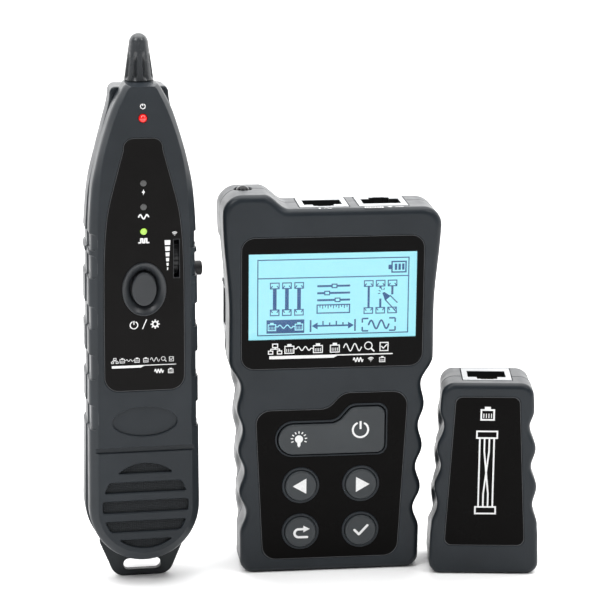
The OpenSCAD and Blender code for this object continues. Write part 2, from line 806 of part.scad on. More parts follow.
module receiver_faceplate() {
    color(INK)
        at_receiver()
            difference() {
                outline(faceplate_outline(0), 0.05, 0.5);
                outline(oval(0, BUTTON_Z, 6.8, 8.4), -1, 1);
                block(WHEEL[0] - 0.85, -1, 99.4, WHEEL[0] + 0.85, 1, 111.3);
                for (i = [1:3])
                    rod_y(0, LED_Z[i], 1.05, -1, 1);
            }
}

module probe_tip() {
    color(INK)
        at_receiver()
            difference() {
                translate([0, TIP_Y, 0])
                    rotate_extrude()
                        polygon(concat(
                            [[0, 152], [3.4, 152], [3.4, receiver_top],
                             [4.5, receiver_top], [3.95, receiver_top + 5],
                             [TIP_NOSE + 0.1, tip_top - TIP_NOSE - 0.4]],
                            arc([0, tip_top - TIP_NOSE], TIP_NOSE, 0, 90, 6)));
                rod_z(0, TIP_Y, 1.3, 151, 165);
                for (k = [0:7])
                    translate([0, TIP_Y, 0])
                        rotate([0, 0, 22.5 + 45 * k])
                            translate([4.55, 0, receiver_top - 1])
                                cylinder(r = 0.85, h = 9);
            }
}

module probe_antenna() {
    color([0.35, 0.33, 0.32])
        at_receiver()
            rod_z(0, TIP_Y, 1.25, 150, 164.9);
}

module power_button_ring() {
    color(GRIP)
        at_receiver()
            difference() {
                union() {
                    outline(oval(0, BUTTON_Z, 6.75, 8.35), -0.6, 0.5);
                    outline(oval(0, BUTTON_Z, 6, 7.6), 0.4, 2.1);
                }
                outline(oval(0, BUTTON_Z, 3.95, 5.4), -1, 3);
                outline(oval(0, BUTTON_Z, 5.6, 7.2), -1, -0.25);
            }
}

module receiver_power_button() {
    color(GRIP)
        at_receiver() {
            outline(oval(0, BUTTON_Z, 3.8, 5.25), -0.5, 2.3);
            outline(oval(0, BUTTON_Z, 5, 6.4), 2.2, 3);
            rod_y(0, BUTTON_Z, 1.4, 2.9, R_PCB_Y - button_travel - 0.1);
        }
}

module led(z, r, nose) {
    at_receiver() {
        rod_y(0, z, r, 0.1, 5);
        rod_y(0, z, 1.9, WALL + 0.1, 5);
        if (nose)
            translate([0, 0.1, z])
                difference() {
                    sphere(r = r);
                    translate([-4, 0, -4])
                        cube([8, 8, 8]);
                }
    }
}

module power_led() {
    color([0.85, 0.08, 0.08])
        led(LED_Z[0], 1.25, true);
}

module ncv_led() {
    color([0.45, 0.45, 0.45])
        led(LED_Z[1], 1, false);
}

module analog_led() {
    color([0.45, 0.45, 0.45])
        led(LED_Z[2], 1, false);
}

module digital_led() {
    color([0.70, 0.88, 0.25])
        led(LED_Z[3], 1, false);
}

module sensitivity_wheel() {
    color(INK)
        at_receiver()
            difference() {
                rod_x(WHEEL[1], WHEEL[2], wheel_r, WHEEL[0] - 0.7, WHEEL[0] + 0.7);
                rod_x(WHEEL[1], WHEEL[2], 1.5, WHEEL[0] - 2, WHEEL[0] + 2);
                for (k = [0:29])
                    translate([WHEEL[0] - 1, WHEEL[1], WHEEL[2]])
                        rotate([12 * k, 0, 0])
                            translate([0, 0, wheel_r])
                                rotate([0, 90, 0])
                                    cylinder(r = 0.3, h = 2);
            }
}

module wheel_potentiometer() {
    color([0.20, 0.35, 0.55])
        at_receiver() {
            block(4.2, 4.6, WHEEL[2] - 3.4, 9, 9.5, WHEEL[2] + 3.4);
            rod_x(WHEEL[1], WHEEL[2], 1.5 - run_gap, 8.9, WHEEL[0] + 1);
        }
}

module lamp_button() {
    color([0.24, 0.25, 0.26])
        at_receiver() {
            rod_x(LAMP_KEY[0], LAMP_KEY[1], 2.3, 12.9, 19.6);
            rod_x(LAMP_KEY[0], LAMP_KEY[1], 3, 12.2, 13.2);
        }
}

module speaker_cloth() {
    color([0.10, 0.10, 0.11])
        at_receiver()
            outline(oval(0, GRILLE_Z, GRILLE[0], GRILLE[1]),
                    GRILLE_T + 0.05, GRILLE_T + 0.45);
}

module receiver_speaker() {
    color([0.30, 0.30, 0.32])
        at_receiver() {
            rod_y(0, GRILLE_Z + 0.5, 10.2, 2.7, 4.6);
            rod_y(0, GRILLE_Z + 0.5, 6, 4.5, 7.4);
        }
}

module receiver_pcb() {
    color(BOARD)
        at_receiver()
            difference() {
                outline(round_box(-10.8, 40, 10.8, 134, 1), R_PCB_Y, R_PCB_Y + 1.6);
                block(WHEEL[0] - 1.2, 9, WHEEL[2] - 8.2, 12, 12, WHEEL[2] + 8.2);
            }
}

module receiver_batteries() {
    color([0.20, 0.42, 0.30])
        at_receiver()
            for (x = [-5.7, 5.7]) {
                rod_z(x, 17, 5.1, 30, 73.4);
                rod_z(x, 17, 1.6, 73.3, 74.2);
            }
}

module battery_contacts() {
    color(STEEL)
        at_receiver()
            for (x = [-5.7, 5.7]) {
                block(x - 4, 13.4, 28.4, x + 4, 20.4, 29);
                rod_z(x, 17, 2.2, 28.9, 29.9);
                block(x - 4, 13.4, 74.3, x + 4, 20.4, 74.9);
            }
}

module receiver_battery_door() {
    top = R_DOOR[3] - SEAT;
    color(SHELL)
        at_receiver()
            difference() {
                outline(round_box(R_DOOR[0] + SEAT, R_DOOR[1] + SEAT,
                                  R_DOOR[2] - SEAT, top, 1.9),
                        receiver_depth - 1.5, receiver_depth);
                for (k = [0:4])
                    block(-5, receiver_depth - 0.5, top - 4.4 - 1.6 * k,
                          5, receiver_depth + 1, top - 3.7 - 1.6 * k);
            }
}

module receiver_screws() {
    color(STEEL)
        at_receiver()
            for (b = R_BOSSES)
                back_screw(b[0], b[1], 4, 12, 0.8, 1.65);
}

// ---- remote ----

REMOTE_FRONT = [
    [4, 17.3], [12, 17.1], [16.1, 16.8], [23, 15.1], [28.9, 16.2], [35.7, 14.3],
    [41.5, 15.6], [48.8, 13.5], [54, 14.8], [63, 14.3]];
REMOTE_BACK = [
    [4, 17.3], [12, 17.1], [16.1, 15.6], [23, 16.4], [28.9, 14.9], [35.7, 15.6],
    [41.5, 14.3], [48.8, 14.8], [54, 14], [63, 14.3]];
REMOTE_JACK = [4.6, 13.4];
REMOTE_FOOT = 51.4;
M_BOSSES = [[0, 7], [0, 44]];

function remote_chain(keys, d) =
    let(rb = 3.6 - 0.6 * d, rt = 4.2 - 0.7 * d, zb = d + rb, zt = remote_top - d - rt)
    concat(
        arc([ease(keys, zb) - d - rb, zb], rb, -90, 0, ARC_STEPS),
        side_samples(keys, zb, zt, 34, d),
        arc([ease(keys, zt) - d - rt, zt], rt, 0, 90, ARC_STEPS));

function remote_rings(keys, insets) =
    [for (q = insets) let(chain = remote_chain(keys, q[1]))
        [q[0], chain, [for (p = chain) [-p[0], p[1]]]]];

REMOTE_CAVITY = [
    [-14.2, 2.4], [14.2, 2.4], [13.2, 20], [12, 34], [11.3, 48], [11.8, 60.6],
    [-11.8, 60.6], [-11.3, 48], [-12, 34], [-13.2, 20]];

function label_outline(d) = rounded([
    [-12.75 + d, 9.7 + d, 2.2], [12.75 - d, 9.7 + d, 2.2],
    [10.05 - d, 58.8 - d, 2.2], [-10.05 + d, 58.8 - d, 2.2]]);

module at_remote() {
    translate([remote_x, remote_y, 0])
        rotate([0, 0, remote_turn])
            children();
}

module remote_jack_cut() {
    block(-jack_w / 2 - 0.2, REMOTE_JACK[0] - 0.2, 56, jack_w / 2 + 0.2,
          REMOTE_JACK[0] + REMOTE_JACK[1] + 0.2, remote_top + 2);
}

module remote_front_shell() {
    color(SHELL)
        at_remote() {
            difference() {
                loft(remote_rings(REMOTE_FRONT,
                                  concat(edge_rings(0, 1.8, 1), [[M_PART_Y, 0]])));
                outline(REMOTE_CAVITY, 2, M_PART_Y + 1);
                outline(label_outline(-SEAT), -1, 0.45);
                remote_jack_cut();
            }
            for (b = M_BOSSES)
                difference() {
                    rod_y(b[0], b[1], 2.3, 1.7, M_PART_Y);
                    rod_y(b[0], b[1], 0.85, 3.4, M_PART_Y + 1);
                }
        }
}

module remote_back_shell() {
    color(SHELL)
        at_remote()
            difference() {
                union() {
                    difference() {
                        loft(remote_rings(REMOTE_BACK, [
                            [M_PART_Y, 0], [remote_depth - 4, 0],
                            [remote_depth - 1.6, 0.6], [remote_depth - 0.4, 1.7],
                            [remote_depth, 2.8]]));
                        outline(REMOTE_CAVITY, M_PART_Y - 1, remote_depth - 2);
                    }
                    for (b = M_BOSSES)
                        rod_y(b[0], b[1], 2.5, M_PART_Y, remote_depth - 1.7);
                }
                for (b = M_BOSSES) {
                    rod_y(b[0], b[1], 1, M_PART_Y - 1, remote_depth + 1);
                    rod_y(b[0], b[1], 1.8, 12, remote_depth + 1);
                }
                remote_jack_cut();
            }
}

module remote_label() {
    color(INK)
        at_remote()
            outline(label_outline(0), 0.05, 0.4);
}

module remote_jack() {
    color(WHITE)
        at_remote()
            up_jack(0, REMOTE_JACK[0], REMOTE_FOOT, remote_top + 0.1,
                    REMOTE_JACK[1], "front");
}

module remote_contacts() {
    color(GOLD)
        at_remote()
            up_contacts(0, REMOTE_JACK[0], REMOTE_FOOT, remote_top,
                        REMOTE_JACK[1], "front");
}

module remote_pcb() {
    color(BOARD)
        at_remote()
            difference() {
                block(-10.8, 10.4, 12, 10.8, 12, 51);
                rod_y(M_BOSSES[1][0], M_BOSSES[1][1], 2.7, 9, 13);
            }
}

module remote_screws() {
    color(STEEL)
        at_remote()
            for (b = M_BOSSES)
                back_screw(b[0], b[1], 4, 12, 0.8, 1.65);
}

emitter_front_shell();
emitter_back_shell();
emitter_battery_door();
emitter_screws();
display_window();
lcd_module();
lcd_backlight();
keypad_plate();
keypad_membrane();
rocker_key();
key_left();
key_right();
key_back();
key_ok();
emitter_pcb();
jack_board();
emitter_buzzer();
flash_led();
poe_jack();
length_jack();
emitter_top_contacts();
side_jack();
loop_jack();
side_contacts();
charge_port();
emitter_battery();
receiver_front_shell();
receiver_back_shell();
lanyard_loop();
receiver_faceplate();
probe_tip();
probe_antenna();
power_button_ring();
receiver_power_button();
power_led();
ncv_led();
analog_led();
digital_led();
sensitivity_wheel();
wheel_potentiometer();
lamp_button();
speaker_cloth();
receiver_speaker();
receiver_pcb();
receiver_batteries();
battery_contacts();
receiver_battery_door();
receiver_screws();
remote_front_shell();
remote_back_shell();
remote_label();
remote_jack();
remote_contacts();
remote_pcb();
remote_screws();
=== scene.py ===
import json
from math import asin, cos, pi, radians, sin, sqrt, tan

import bmesh
import bpy
from mathutils import Matrix, Vector
from mathutils.geometry import delaunay_2d_cdt


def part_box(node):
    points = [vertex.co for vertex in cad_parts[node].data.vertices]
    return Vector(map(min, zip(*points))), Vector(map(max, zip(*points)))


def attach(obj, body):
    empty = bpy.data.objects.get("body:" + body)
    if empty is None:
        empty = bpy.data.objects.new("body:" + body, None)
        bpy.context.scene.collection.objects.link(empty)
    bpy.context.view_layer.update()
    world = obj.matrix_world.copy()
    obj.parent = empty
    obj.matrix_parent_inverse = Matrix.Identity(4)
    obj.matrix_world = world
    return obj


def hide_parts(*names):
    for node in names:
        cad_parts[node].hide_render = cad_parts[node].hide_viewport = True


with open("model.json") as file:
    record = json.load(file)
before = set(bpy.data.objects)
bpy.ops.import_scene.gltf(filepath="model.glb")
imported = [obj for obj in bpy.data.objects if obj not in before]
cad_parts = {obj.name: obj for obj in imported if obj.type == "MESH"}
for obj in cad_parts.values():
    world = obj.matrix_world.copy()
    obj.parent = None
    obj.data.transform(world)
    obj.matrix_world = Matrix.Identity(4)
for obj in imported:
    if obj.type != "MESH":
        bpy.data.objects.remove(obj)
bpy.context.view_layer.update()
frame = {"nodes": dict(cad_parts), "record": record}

MM = 0.001


# How far each unit is turned on the table, degrees
TURN = {"emitter": 3.5, "receiver": 6.5, "remote": -4}


def unit_frame(unit, panel, depth, foot):
    """Unit's frame: front plane's middle at floor height, from a panel on its centre line."""
    lo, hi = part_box(panel)
    turn = Matrix.Rotation(radians(TURN[unit]), 4, "Z")
    middle = Vector(((lo.x + hi.x) / 2, (lo.y + hi.y) / 2, lo.z))
    origin = middle - turn @ Vector((0, depth * MM, foot * MM))
    return Matrix.Translation(origin) @ turn


FRAME = {
    "emitter": unit_frame("emitter", "display_window", 0.55, 67.3),
    "receiver": unit_frame("receiver", "receiver_faceplate", 0.275, 64),
    "remote": unit_frame("remote", "remote_label", 0.225, 9.7),
}
FIT = 0.08          # gap round a panel in its recess, mm
SEAM = 0.22         # chamfer along a parting line, mm
WALL = 2.2          # thickness of the shells' front and back walls, mm
BEHIND = 3.2        # level behind the front wall, where its openings end, mm
OVERLAY = 0.05      # level of the overlays' faces, mm


# ---------- outlines, in mm, seen from the front ----------

def clamp(t, low=0):
    """The value t, held between low and 1."""
    return min(max(t, low), 1)


def ease(keys, z):
    """Width at height z, with a level start and end at every key."""
    if z <= keys[0][0]:
        return keys[0][1]
    for (z0, w0), (z1, w1) in zip(keys, keys[1:]):
        if z <= z1:
            t = (z - z0) / (z1 - z0)
            return w0 + (w1 - w0) * (1 - cos(pi * t)) / 2
    return keys[-1][1]


def flow(keys, z):
    """Width at height z on one smooth curve through every key."""
    last = len(keys) - 1
    if z <= keys[0][0]:
        return keys[0][1]
    if z >= keys[last][0]:
        return keys[last][1]
    i = max(k for k in range(last) if keys[k][0] <= z)

    def slope(k):
        a, b = keys[max(k - 1, 0)], keys[min(k + 1, last)]
        return (b[1] - a[1]) / (b[0] - a[0])

    h = keys[i + 1][0] - keys[i][0]
    t = (z - keys[i][0]) / h
    return (keys[i][1] * (2 * t ** 3 - 3 * t ** 2 + 1)
            + slope(i) * h * (t ** 3 - 2 * t ** 2 + t)
            + keys[i + 1][1] * (3 * t ** 2 - 2 * t ** 3)
            + slope(i + 1) * h * (t ** 3 - t ** 2))


def arc(centre, r, a0, a1, steps):
    angles = [radians(a0 + (a1 - a0) * k / steps) for k in range(steps + 1)]
    return [(centre[0] + r * cos(a), centre[1] + r * sin(a)) for a in angles]


def polar(r, degrees):
    return r * cos(radians(degrees)), r * sin(radians(degrees))


def fillet(a, p, b, r, steps):
    a, p, b = Vector(a), Vector(p), Vector(b)
    u, v = (a - p).normalized(), (b - p).normalized()
    t = u.angle(v)
    centre = p + (u + v).normalized() * r / sin(t / 2)
    start = p + u * r / tan(t / 2) - centre
    end = p + v * r / tan(t / 2) - centre
    way = 1 if start.x * end.y - start.y * end.x > 0 else -1
    out = []
    for k in range(steps + 1):
        q = way * (pi - t) * k / steps
        out.append((centre.x + start.x * cos(q) - start.y * sin(q),
                    centre.y + start.x * sin(q) + start.y * cos(q)))
    return out


def rounded(corners, steps=8):
    """Closed outline with corners (x, z, radius)."""
    n = len(corners)
    out = []
    for i, (x, z, r) in enumerate(corners):
        if r == 0:
            out.append((x, z))
        else:
            before, after = corners[i - 1][:2], corners[(i + 1) % n][:2]
            out += fillet(before, (x, z), after, r, steps)
    return out


def round_box(x0, z0, x1, z1, r, steps=8):
    return rounded([(x0, z0, r), (x1, z0, r), (x1, z1, r), (x0, z1, r)], steps)


def inner_box(box, d, r):
    """Rounded box (x0, z0, x1, z1) moved in by d on every side."""
    x0, z0, x1, z1 = box
    return round_box(x0 + d, z0 + d, x1 - d, z1 - d, r)


def oval(x, z, rx, rz, steps=64):
    turn = 2 * pi / steps
    return [(x + rx * cos(turn * k), z + rz * sin(turn * k)) for k in range(steps)]


def disc(x, z, r, steps=64):
    return oval(x, z, r, r, steps)


def mirrored(chain):
    return [(-x, z) for x, z in reversed(chain)]


def turning(points):
    """1 for an anticlockwise outline, -1 for a clockwise one."""
    area = sum(a[0] * b[1] - b[0] * a[1] for a, b in zip(points, points[1:] + points[:1]))
    return 1 if area > 0 else -1


def grow(points, d):
    """The outline moved out by d, or in where d is negative."""
    n = len(points)
    side = turning(points)
    out = []
    for i in range(n):
        p = Vector(points[i])
        e0 = (p - Vector(points[i - 1])).normalized()
        e1 = (Vector(points[(i + 1) % n]) - p).normalized()
        n0 = Vector((e0.y, -e0.x)) * side
        n1 = Vector((e1.y, -e1.x)) * side
        q = p + (n0 + n1) / (1 + n0.dot(n1)) * d
        out.append((q.x, q.y))
    return out


# ---------- solids, in mm from the unit's origin ----------

PLACE = {
    "x": lambda t, p: (t, p[0], p[1]),
    "y": lambda t, p: (p[0], t, p[1]),
    "z": lambda t, p: (p[0], p[1], t),
}


def mesh_object(name, verts, faces):
    mesh = bpy.data.meshes.new(name)
    mesh.from_pydata(verts, [], faces)
    bm = bmesh.new()
    bm.from_mesh(mesh)
    bmesh.ops.recalc_face_normals(bm, faces=bm.faces)
    bm.to_mesh(mesh)
    bm.free()
    obj = bpy.data.objects.new(name, mesh)
    bpy.context.scene.collection.objects.link(obj)
    return obj


def stack(name, rings, axis="y", loop=False):
    """Skin through rings (level, outline), closed by two caps or on itself."""
    n = len(rings[0][1])
    verts = [PLACE[axis](t, p) for t, ring in rings for p in ring]
    faces = []
    pairs = list(zip(range(len(rings)), range(1, len(rings))))
    if loop:
        pairs.append((len(rings) - 1, 0))
    else:
        faces += [tuple(range(n)), tuple(range(len(verts) - n, len(verts)))]
    for a, b in pairs:
        for i in range(n):
            j = (i + 1) % n
            faces.append((a * n + i, a * n + j, b * n + j, b * n + i))
    return mesh_object(name, verts, faces)


def prism(points, t0, t1, axis="y", name="cutter"):
    return stack(name, [(t0, points), (t1, points)], axis)


def quarter(r, steps=5):
    """(inset, depth) along a quarter round edge, from the face inwards."""
    angles = [pi / 2 * k / steps for k in range(steps + 1)]
    return [(r * (1 - sin(a)), r * (1 - cos(a))) for a in angles]


def pad(name, points, t0, t1, edge, back_edge=0.0, axis="y"):
    """Slab with its edge rounded at t0, and at t1 if back_edge is set."""
    way = 1 if t1 > t0 else -1
    rings = [(t0 + way * depth, grow(points, -inset)) for inset, depth in quarter(edge)]
    if back_edge:
        rings += [(t1 - way * depth, grow(points, -inset))
                  for inset, depth in reversed(quarter(back_edge))]
    else:
        rings.append((t1, points))
    return stack(name, rings, axis)


def well(points, face, depth, lip, axis="y", reach=1.0):
    """Cutter for a recess from a face, with a rounded mouth. Depth is signed."""
    way = 1 if depth > 0 else -1
    rings = [(face - way * reach, grow(points, lip))]
    rings += [(face + way * deep, grow(points, inset)) for inset, deep in quarter(lip)]
    rings.append((face + depth, points))
    return stack("cutter", rings, axis)


def box_points(x0, z0, x1, z1):
    return [(x0, z0), (x1, z0), (x1, z1), (x0, z1)]


def block(x0, y0, z0, x1, y1, z1):
    return prism(box_points(x0, z0, x1, z1), y0, y1)


def lathe(name, profile, u, v, axis="y", steps=64):
    """Turned solid with profile (level, radius) about a line through (u, v)."""
    return stack(name, [(t, disc(u, v, r, steps)) for t, r in profile], axis)


def bars(middles, r, t0, t1):
    """Round cutters or bosses, one through each middle."""
    return [lathe("bar", [(t0, r), (t1, r)], *middle) for middle in middles]


def screw_wells(middles, r, face, depth, lip):
    return [well(disc(*middle, r), face, depth, lip) for middle in middles]


def boolean(obj, tools, how):
    for tool in tools:
        mod = obj.modifiers.new("carve", "BOOLEAN")
        mod.operation = how
        mod.solver = "MANIFOLD"
        mod.object = tool
    bpy.context.view_layer.update()
    mesh = bpy.data.meshes.new_from_object(obj.evaluated_get(bpy.context.evaluated_depsgraph_get()))
    obj.modifiers.clear()
    obj.data = mesh
    for tool in tools:
        bpy.data.objects.remove(tool)
    return obj


def cut(obj, *tools):
    return boolean(obj, tools, "DIFFERENCE")


def join(obj, *tools):
    return boolean(obj, tools, "UNION")


UNIT_OF = {"receiver_door": "receiver", "power_button": "receiver", "lamp_key": "receiver"}
UNIT_OF.update({unit: unit for unit in TURN})
SHARP_ANGLE = radians(38)
LARGE_FACE_WEIGHT = 80


def place(obj, body, look, *nodes, lined=None):
    """Moves a finished solid to its unit, smooths it, and hangs it on its body.

    Where lined is given, faces marked 1 get that look."""
    mesh = obj.data
    mesh.transform(FRAME[UNIT_OF.get(body, "emitter")] @ Matrix.Scale(MM, 4))
    marks = [face.material_index if lined else 0 for face in mesh.polygons]
    mesh.materials.clear()
    mesh.materials.append(MAT[look])
    if lined:
        mesh.materials.append(MAT[lined])
    for face, mark in zip(mesh.polygons, marks):
        face.use_smooth = True
        face.material_index = mark
    mesh.set_sharp_from_angle(angle=SHARP_ANGLE)
    weighted = obj.modifiers.new("weighted", "WEIGHTED_NORMAL")
    weighted.keep_sharp = True
    weighted.weight = LARGE_FACE_WEIGHT
    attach(obj, body)
    if nodes:
        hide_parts(*nodes)


# ---------- materials ----------

class Look:
    """Nodes of a new material or world, with helpers that add and link them."""

    def __init__(self, owner, where="Object"):
        owner.use_nodes = True
        self.owner = owner
        self.tree = owner.node_tree
        self.coord = self.tree.nodes.new("ShaderNodeTexCoord").outputs[where]

    def feed(self, node, sockets):
        """Sets a node's inputs, or links them where the value is another node's output."""
        for name, value in sockets.items():
            if isinstance(value, bpy.types.NodeSocket):
                self.tree.links.new(value, node.inputs[name])
            else:
                node.inputs[name].default_value = value

    def node(self, kind, sockets):
        made = self.tree.nodes.new("ShaderNode" + kind)
        self.feed(made, sockets)
        return made

    def mapped(self, **sockets):
        """Object coordinates, turned or stretched."""
        return self.node("Mapping", {"Vector": self.coord, **sockets}).outputs["Vector"]

    def noise(self, size, detail=3.0, vector=None):
        """Noise with features about size mm across."""
        vector = self.coord if vector is None else vector
        sockets = {"Scale": 1 / (size * MM), "Detail": detail, "Vector": vector}
        return self.node("TexNoise", sockets).outputs["Fac"]

    def bricks(self, size, mortar, colours, **more):
        """Brick pattern in the plane of the fronts, with bricks size mm long."""
        sockets = {"Scale": 1 / (size * MM), "Mortar Size": mortar,
                   "Vector": self.mapped(Rotation=(pi / 2, 0, 0))}
        sockets.update({k: (*c, 1) for k, c in zip(("Color1", "Color2", "Mortar"), colours)})
        return self.node("TexBrick", {**sockets, **more})

    def ramp(self, value, low, high, a=0.3, b=0.7):
        """Colour from low to high as value goes from a to b."""
        node = self.node("ValToRGB", {"Fac": value})
        for element, position, colour in zip(node.color_ramp.elements, (a, b), (low, high)):
            element.position = position
            element.color = (*colour, 1)
        return node.outputs["Color"]

    def spread(self, value, low, high, a=0.3, b=0.7):
        """Number from low to high as value goes from a to b."""
        sockets = {"Value": value, "From Min": a, "From Max": b, "To Min": low, "To Max": high}
        return self.node("MapRange", sockets).outputs["Result"]

    def bump(self, height, depth, under=None):
        """Bump of that depth in mm, on top of an earlier one."""
        sockets = {"Height": height, "Strength": 1.0, "Distance": depth * MM}
        if under:
            sockets["Normal"] = under
        return self.node("Bump", sockets).outputs["Normal"]

    def finish(self, sockets, end="Principled BSDF"):
        self.feed(self.tree.nodes[end], sockets)
        return self.owner


def new_look(name):
    return Look(bpy.data.materials.new(name))


def scaled(colour, k):
    return tuple(min(c * k, 1.0) for c in colour)


def plastic(name, colour, rough, grain=0.4, depth=0.01, gloss=0.5):
    """Moulded plastic: eroded grain, faint flow marks and handling smudges."""
    look = new_look(name)
    vary = 0.12
    fine = look.bump(look.noise(grain, 2), depth)
    return look.finish({
        "Base Color": look.ramp(look.noise(14, 4), scaled(colour, 1 - vary), scaled(colour, 1 + vary)),
        "Roughness": look.spread(look.noise(5, 5), *rough),
        "Normal": look.bump(look.noise(grain * 9, 2), depth * 1.5, fine),
        "Specular IOR Level": gloss})


def film(name, colour, rough, gloss):
    """Printed or lacquered sheet: almost flat, with fine dust and hairlines."""
    look = new_look(name)
    return look.finish({
        "Base Color": look.ramp(look.noise(0.5, 6), colour, scaled(colour, 1.6), 0.62, 0.8),
        "Roughness": look.spread(look.noise(9, 5), *rough),
        "Normal": look.bump(look.noise(2.5, 2), 0.004),
        "Specular IOR Level": gloss})


def metal(name, colour, rough, stretch=(1, 1, 1)):
    """Metal with fine drawn lines and slight tarnish."""
    look = new_look(name)
    lines = look.noise(0.3, 3, look.mapped(Scale=stretch))
    return look.finish({
        "Base Color": look.ramp(look.noise(3, 4), scaled(colour, 0.75), colour),
        "Roughness": look.spread(lines, *rough),
        "Normal": look.bump(lines, 0.006),
        "Metallic": 1.0})


def lit_lens(name, colour, glow):
    """Tinted lens of a lit LED, brighter in patches where the die shows."""
    look = new_look(name)
    patch = look.noise(1.2, 2)
    tone = look.ramp(patch, scaled(colour, 0.6), colour, 0.35, 0.65)
    return look.finish({
        "Base Color": tone, "Emission Color": tone, "Emission Strength": glow,
        "Roughness": look.spread(patch, 0.12, 0.27), "Coat Weight": 0.6})


def lens(name, colour, rough, clear, ior, uneven=1.0):
    """Clear moulded lens with faint waves."""
    look = new_look(name)
    waves = look.noise(1.5, 2)
    return look.finish({
        "Base Color": look.ramp(waves, scaled(colour, 1 - 0.15 * uneven), colour),
        "Roughness": look.spread(waves, rough, rough + 0.08 * uneven),
        "Normal": look.bump(waves, 0.02 * uneven),
        "Transmission Weight": clear, "IOR": ior})


def lcd_glow():
    """Backlit reflective screen: cyan, with a fine dot grid."""
    look = new_look("lcd_glow")
    soft = look.noise(60, 1)
    tone = look.ramp(soft, (0.345, 0.825, 0.945), (0.365, 0.855, 0.965))
    grid = look.bricks(0.4, 0.06, [(1, 1, 1), (1, 1, 1), (0.985, 0.99, 0.995)],
                       **{"Brick Width": 1.0, "Row Height": 1.0})
    grid.offset = 0.0
    mix = look.node("Mix", {})
    mix.data_type = "RGBA"
    mix.blend_type = "MULTIPLY"
    look.feed(mix, {"Factor": 1.0, "A": tone, "B": grid.outputs["Color"]})
    return look.finish({
        "Emission Color": mix.outputs["Result"], "Emission Strength": 0.98,
        "Base Color": (0.02, 0.03, 0.035, 1), "Roughness": look.spread(soft, 0.35, 0.5)})


def ink(name, colour, glow=0.0):
    """Screen-printed ink with a slightly uneven edge tone."""
    look = new_look(name)
    tone = look.ramp(look.noise(0.25, 3), scaled(colour, 0.82), colour)
    return look.finish({"Base Color": tone, "Emission Color": tone, "Emission Strength": glow,
                        "Roughness": 0.5})


def circuit_board():
    """Solder mask over copper tracks that show as paler lines."""
    look = new_look("circuit_board")
    tracks = look.bricks(3, 0.04, [(0.012, 0.085, 0.035), (0.016, 0.10, 0.042), (0.05, 0.21, 0.09)])
    return look.finish({
        "Base Color": tracks.outputs["Color"], "Normal": look.bump(tracks.outputs["Fac"], 0.03),
        "Roughness": look.spread(look.noise(2, 3), 0.25, 0.4)})


def cloth_mesh():
    """Woven speaker cloth."""
    look = new_look("speaker_weave")
    threads = []
    for way in "XZ":
        wave = look.node("TexWave", {"Scale": 1 / (1.8 * MM), "Vector": look.coord})
        wave.bands_direction = way
        threads.append(wave.outputs["Fac"])
    mix = look.node("Math", {})
    mix.operation = "MULTIPLY"
    look.feed(mix, dict(enumerate(threads)))
    weave = mix.outputs[0]
    return look.finish({
        "Base Color": look.ramp(weave, (0.012, 0.0135, 0.015), (0.03, 0.033, 0.036), 0.0, 1.0),
        "Normal": look.bump(weave, 0.08), "Roughness": 0.85, "Specular IOR Level": 0.2})


# Colour, roughness from and to, grain and its depth in mm, and gloss
PLASTICS = {
    "housing": ((0.0145, 0.0182, 0.0222), (0.3, 0.4), 0.35, 0.014, 0.2),
    "key_plastic": ((0.03, 0.0345, 0.038), (0.38, 0.5), 0.3, 0.008, 0.3),
    "ring_plastic": ((0.02, 0.0225, 0.0255), (0.3, 0.4), 0.3, 0.006, 0.34),
    # label_edge is paler than the housing: on the overlay rims it is partly their cut edge and partly a
    # painted highlight; the wheel slot's printed frame uses it too
    "label_edge": ((0.035, 0.038, 0.042), (0.4, 0.5), 0.3, 0.004),
    "silicone": ((0.07, 0.07, 0.075), (0.55, 0.7), 0.6, 0.01),
    "black_plastic": ((0.01, 0.011, 0.012), (0.35, 0.5), 0.4, 0.01, 0.3),
    "jack_plastic": ((0.32, 0.33, 0.34), (0.35, 0.45), 0.3, 0.006),
    "jack_light": ((0.5, 0.52, 0.48), (0.2, 0.3), 0.3, 0.004),
    "battery_wrap": ((0.03, 0.14, 0.38), (0.25, 0.4), 1.5, 0.01),
    # painted shade: loop_plastic is the housing's plastic made a little darker, for the loop that sits
    # low in shade
    "loop_plastic": ((0.013, 0.016, 0.018), (0.42, 0.52), 0.3, 0.01, 0.25),
    "tip_black": ((0.03, 0.033, 0.036), (0.24, 0.34), 0.5, 0.014),
    "ferrite": ((0.03, 0.028, 0.026), (0.5, 0.7), 0.2, 0.01),
    "led_grey": ((0.05, 0.05, 0.05), (0.15, 0.25), 0.5, 0.003),
}
MAT = {name: plastic(name, *row) for name, row in PLASTICS.items()}
MAT.update({
    "panel_black": film("panel_black", (0.0018, 0.0015, 0.0014), (0.24, 0.36), 0.045),
    "face_black": film("face_black", (0.0034, 0.003, 0.0029), (0.28, 0.4), 0.075),
    "window_glass": film("window_border", (0.002, 0.0018, 0.0018), (0.12, 0.22), 0.05),
    "pane": lens("window_pane", (1.0, 1.0, 1.0), 0.0, 1.0, 1.2, 0.1),
    "lcd": lcd_glow(),
    "lcd_ink": ink("lcd_ink", (0.012, 0.075, 0.22), 0.4),
    "print_white": ink("print_white", (0.78, 0.78, 0.78)),
    "backlight": plastic("light_guide", (0.8, 0.82, 0.85), (0.3, 0.4)),
    "clear_lens": lens("lamp_lens", (0.006, 0.0065, 0.008), 0.04, 0.3, 1.3),
    "contact_gold": metal("contact_gold", (0.78, 0.55, 0.22), (0.18, 0.32), (1, 1, 0.1)),
    "board": circuit_board(),
    "led_red": lit_lens("led_red", (0.8, 0.012, 0.01), 0.65),
    "led_green": lit_lens("led_green", (0.34, 0.62, 0.05), 0.6),
    "cloth": cloth_mesh(),
    "screw_steel": metal("screw_steel", (0.55, 0.55, 0.56), (0.25, 0.4)),
})


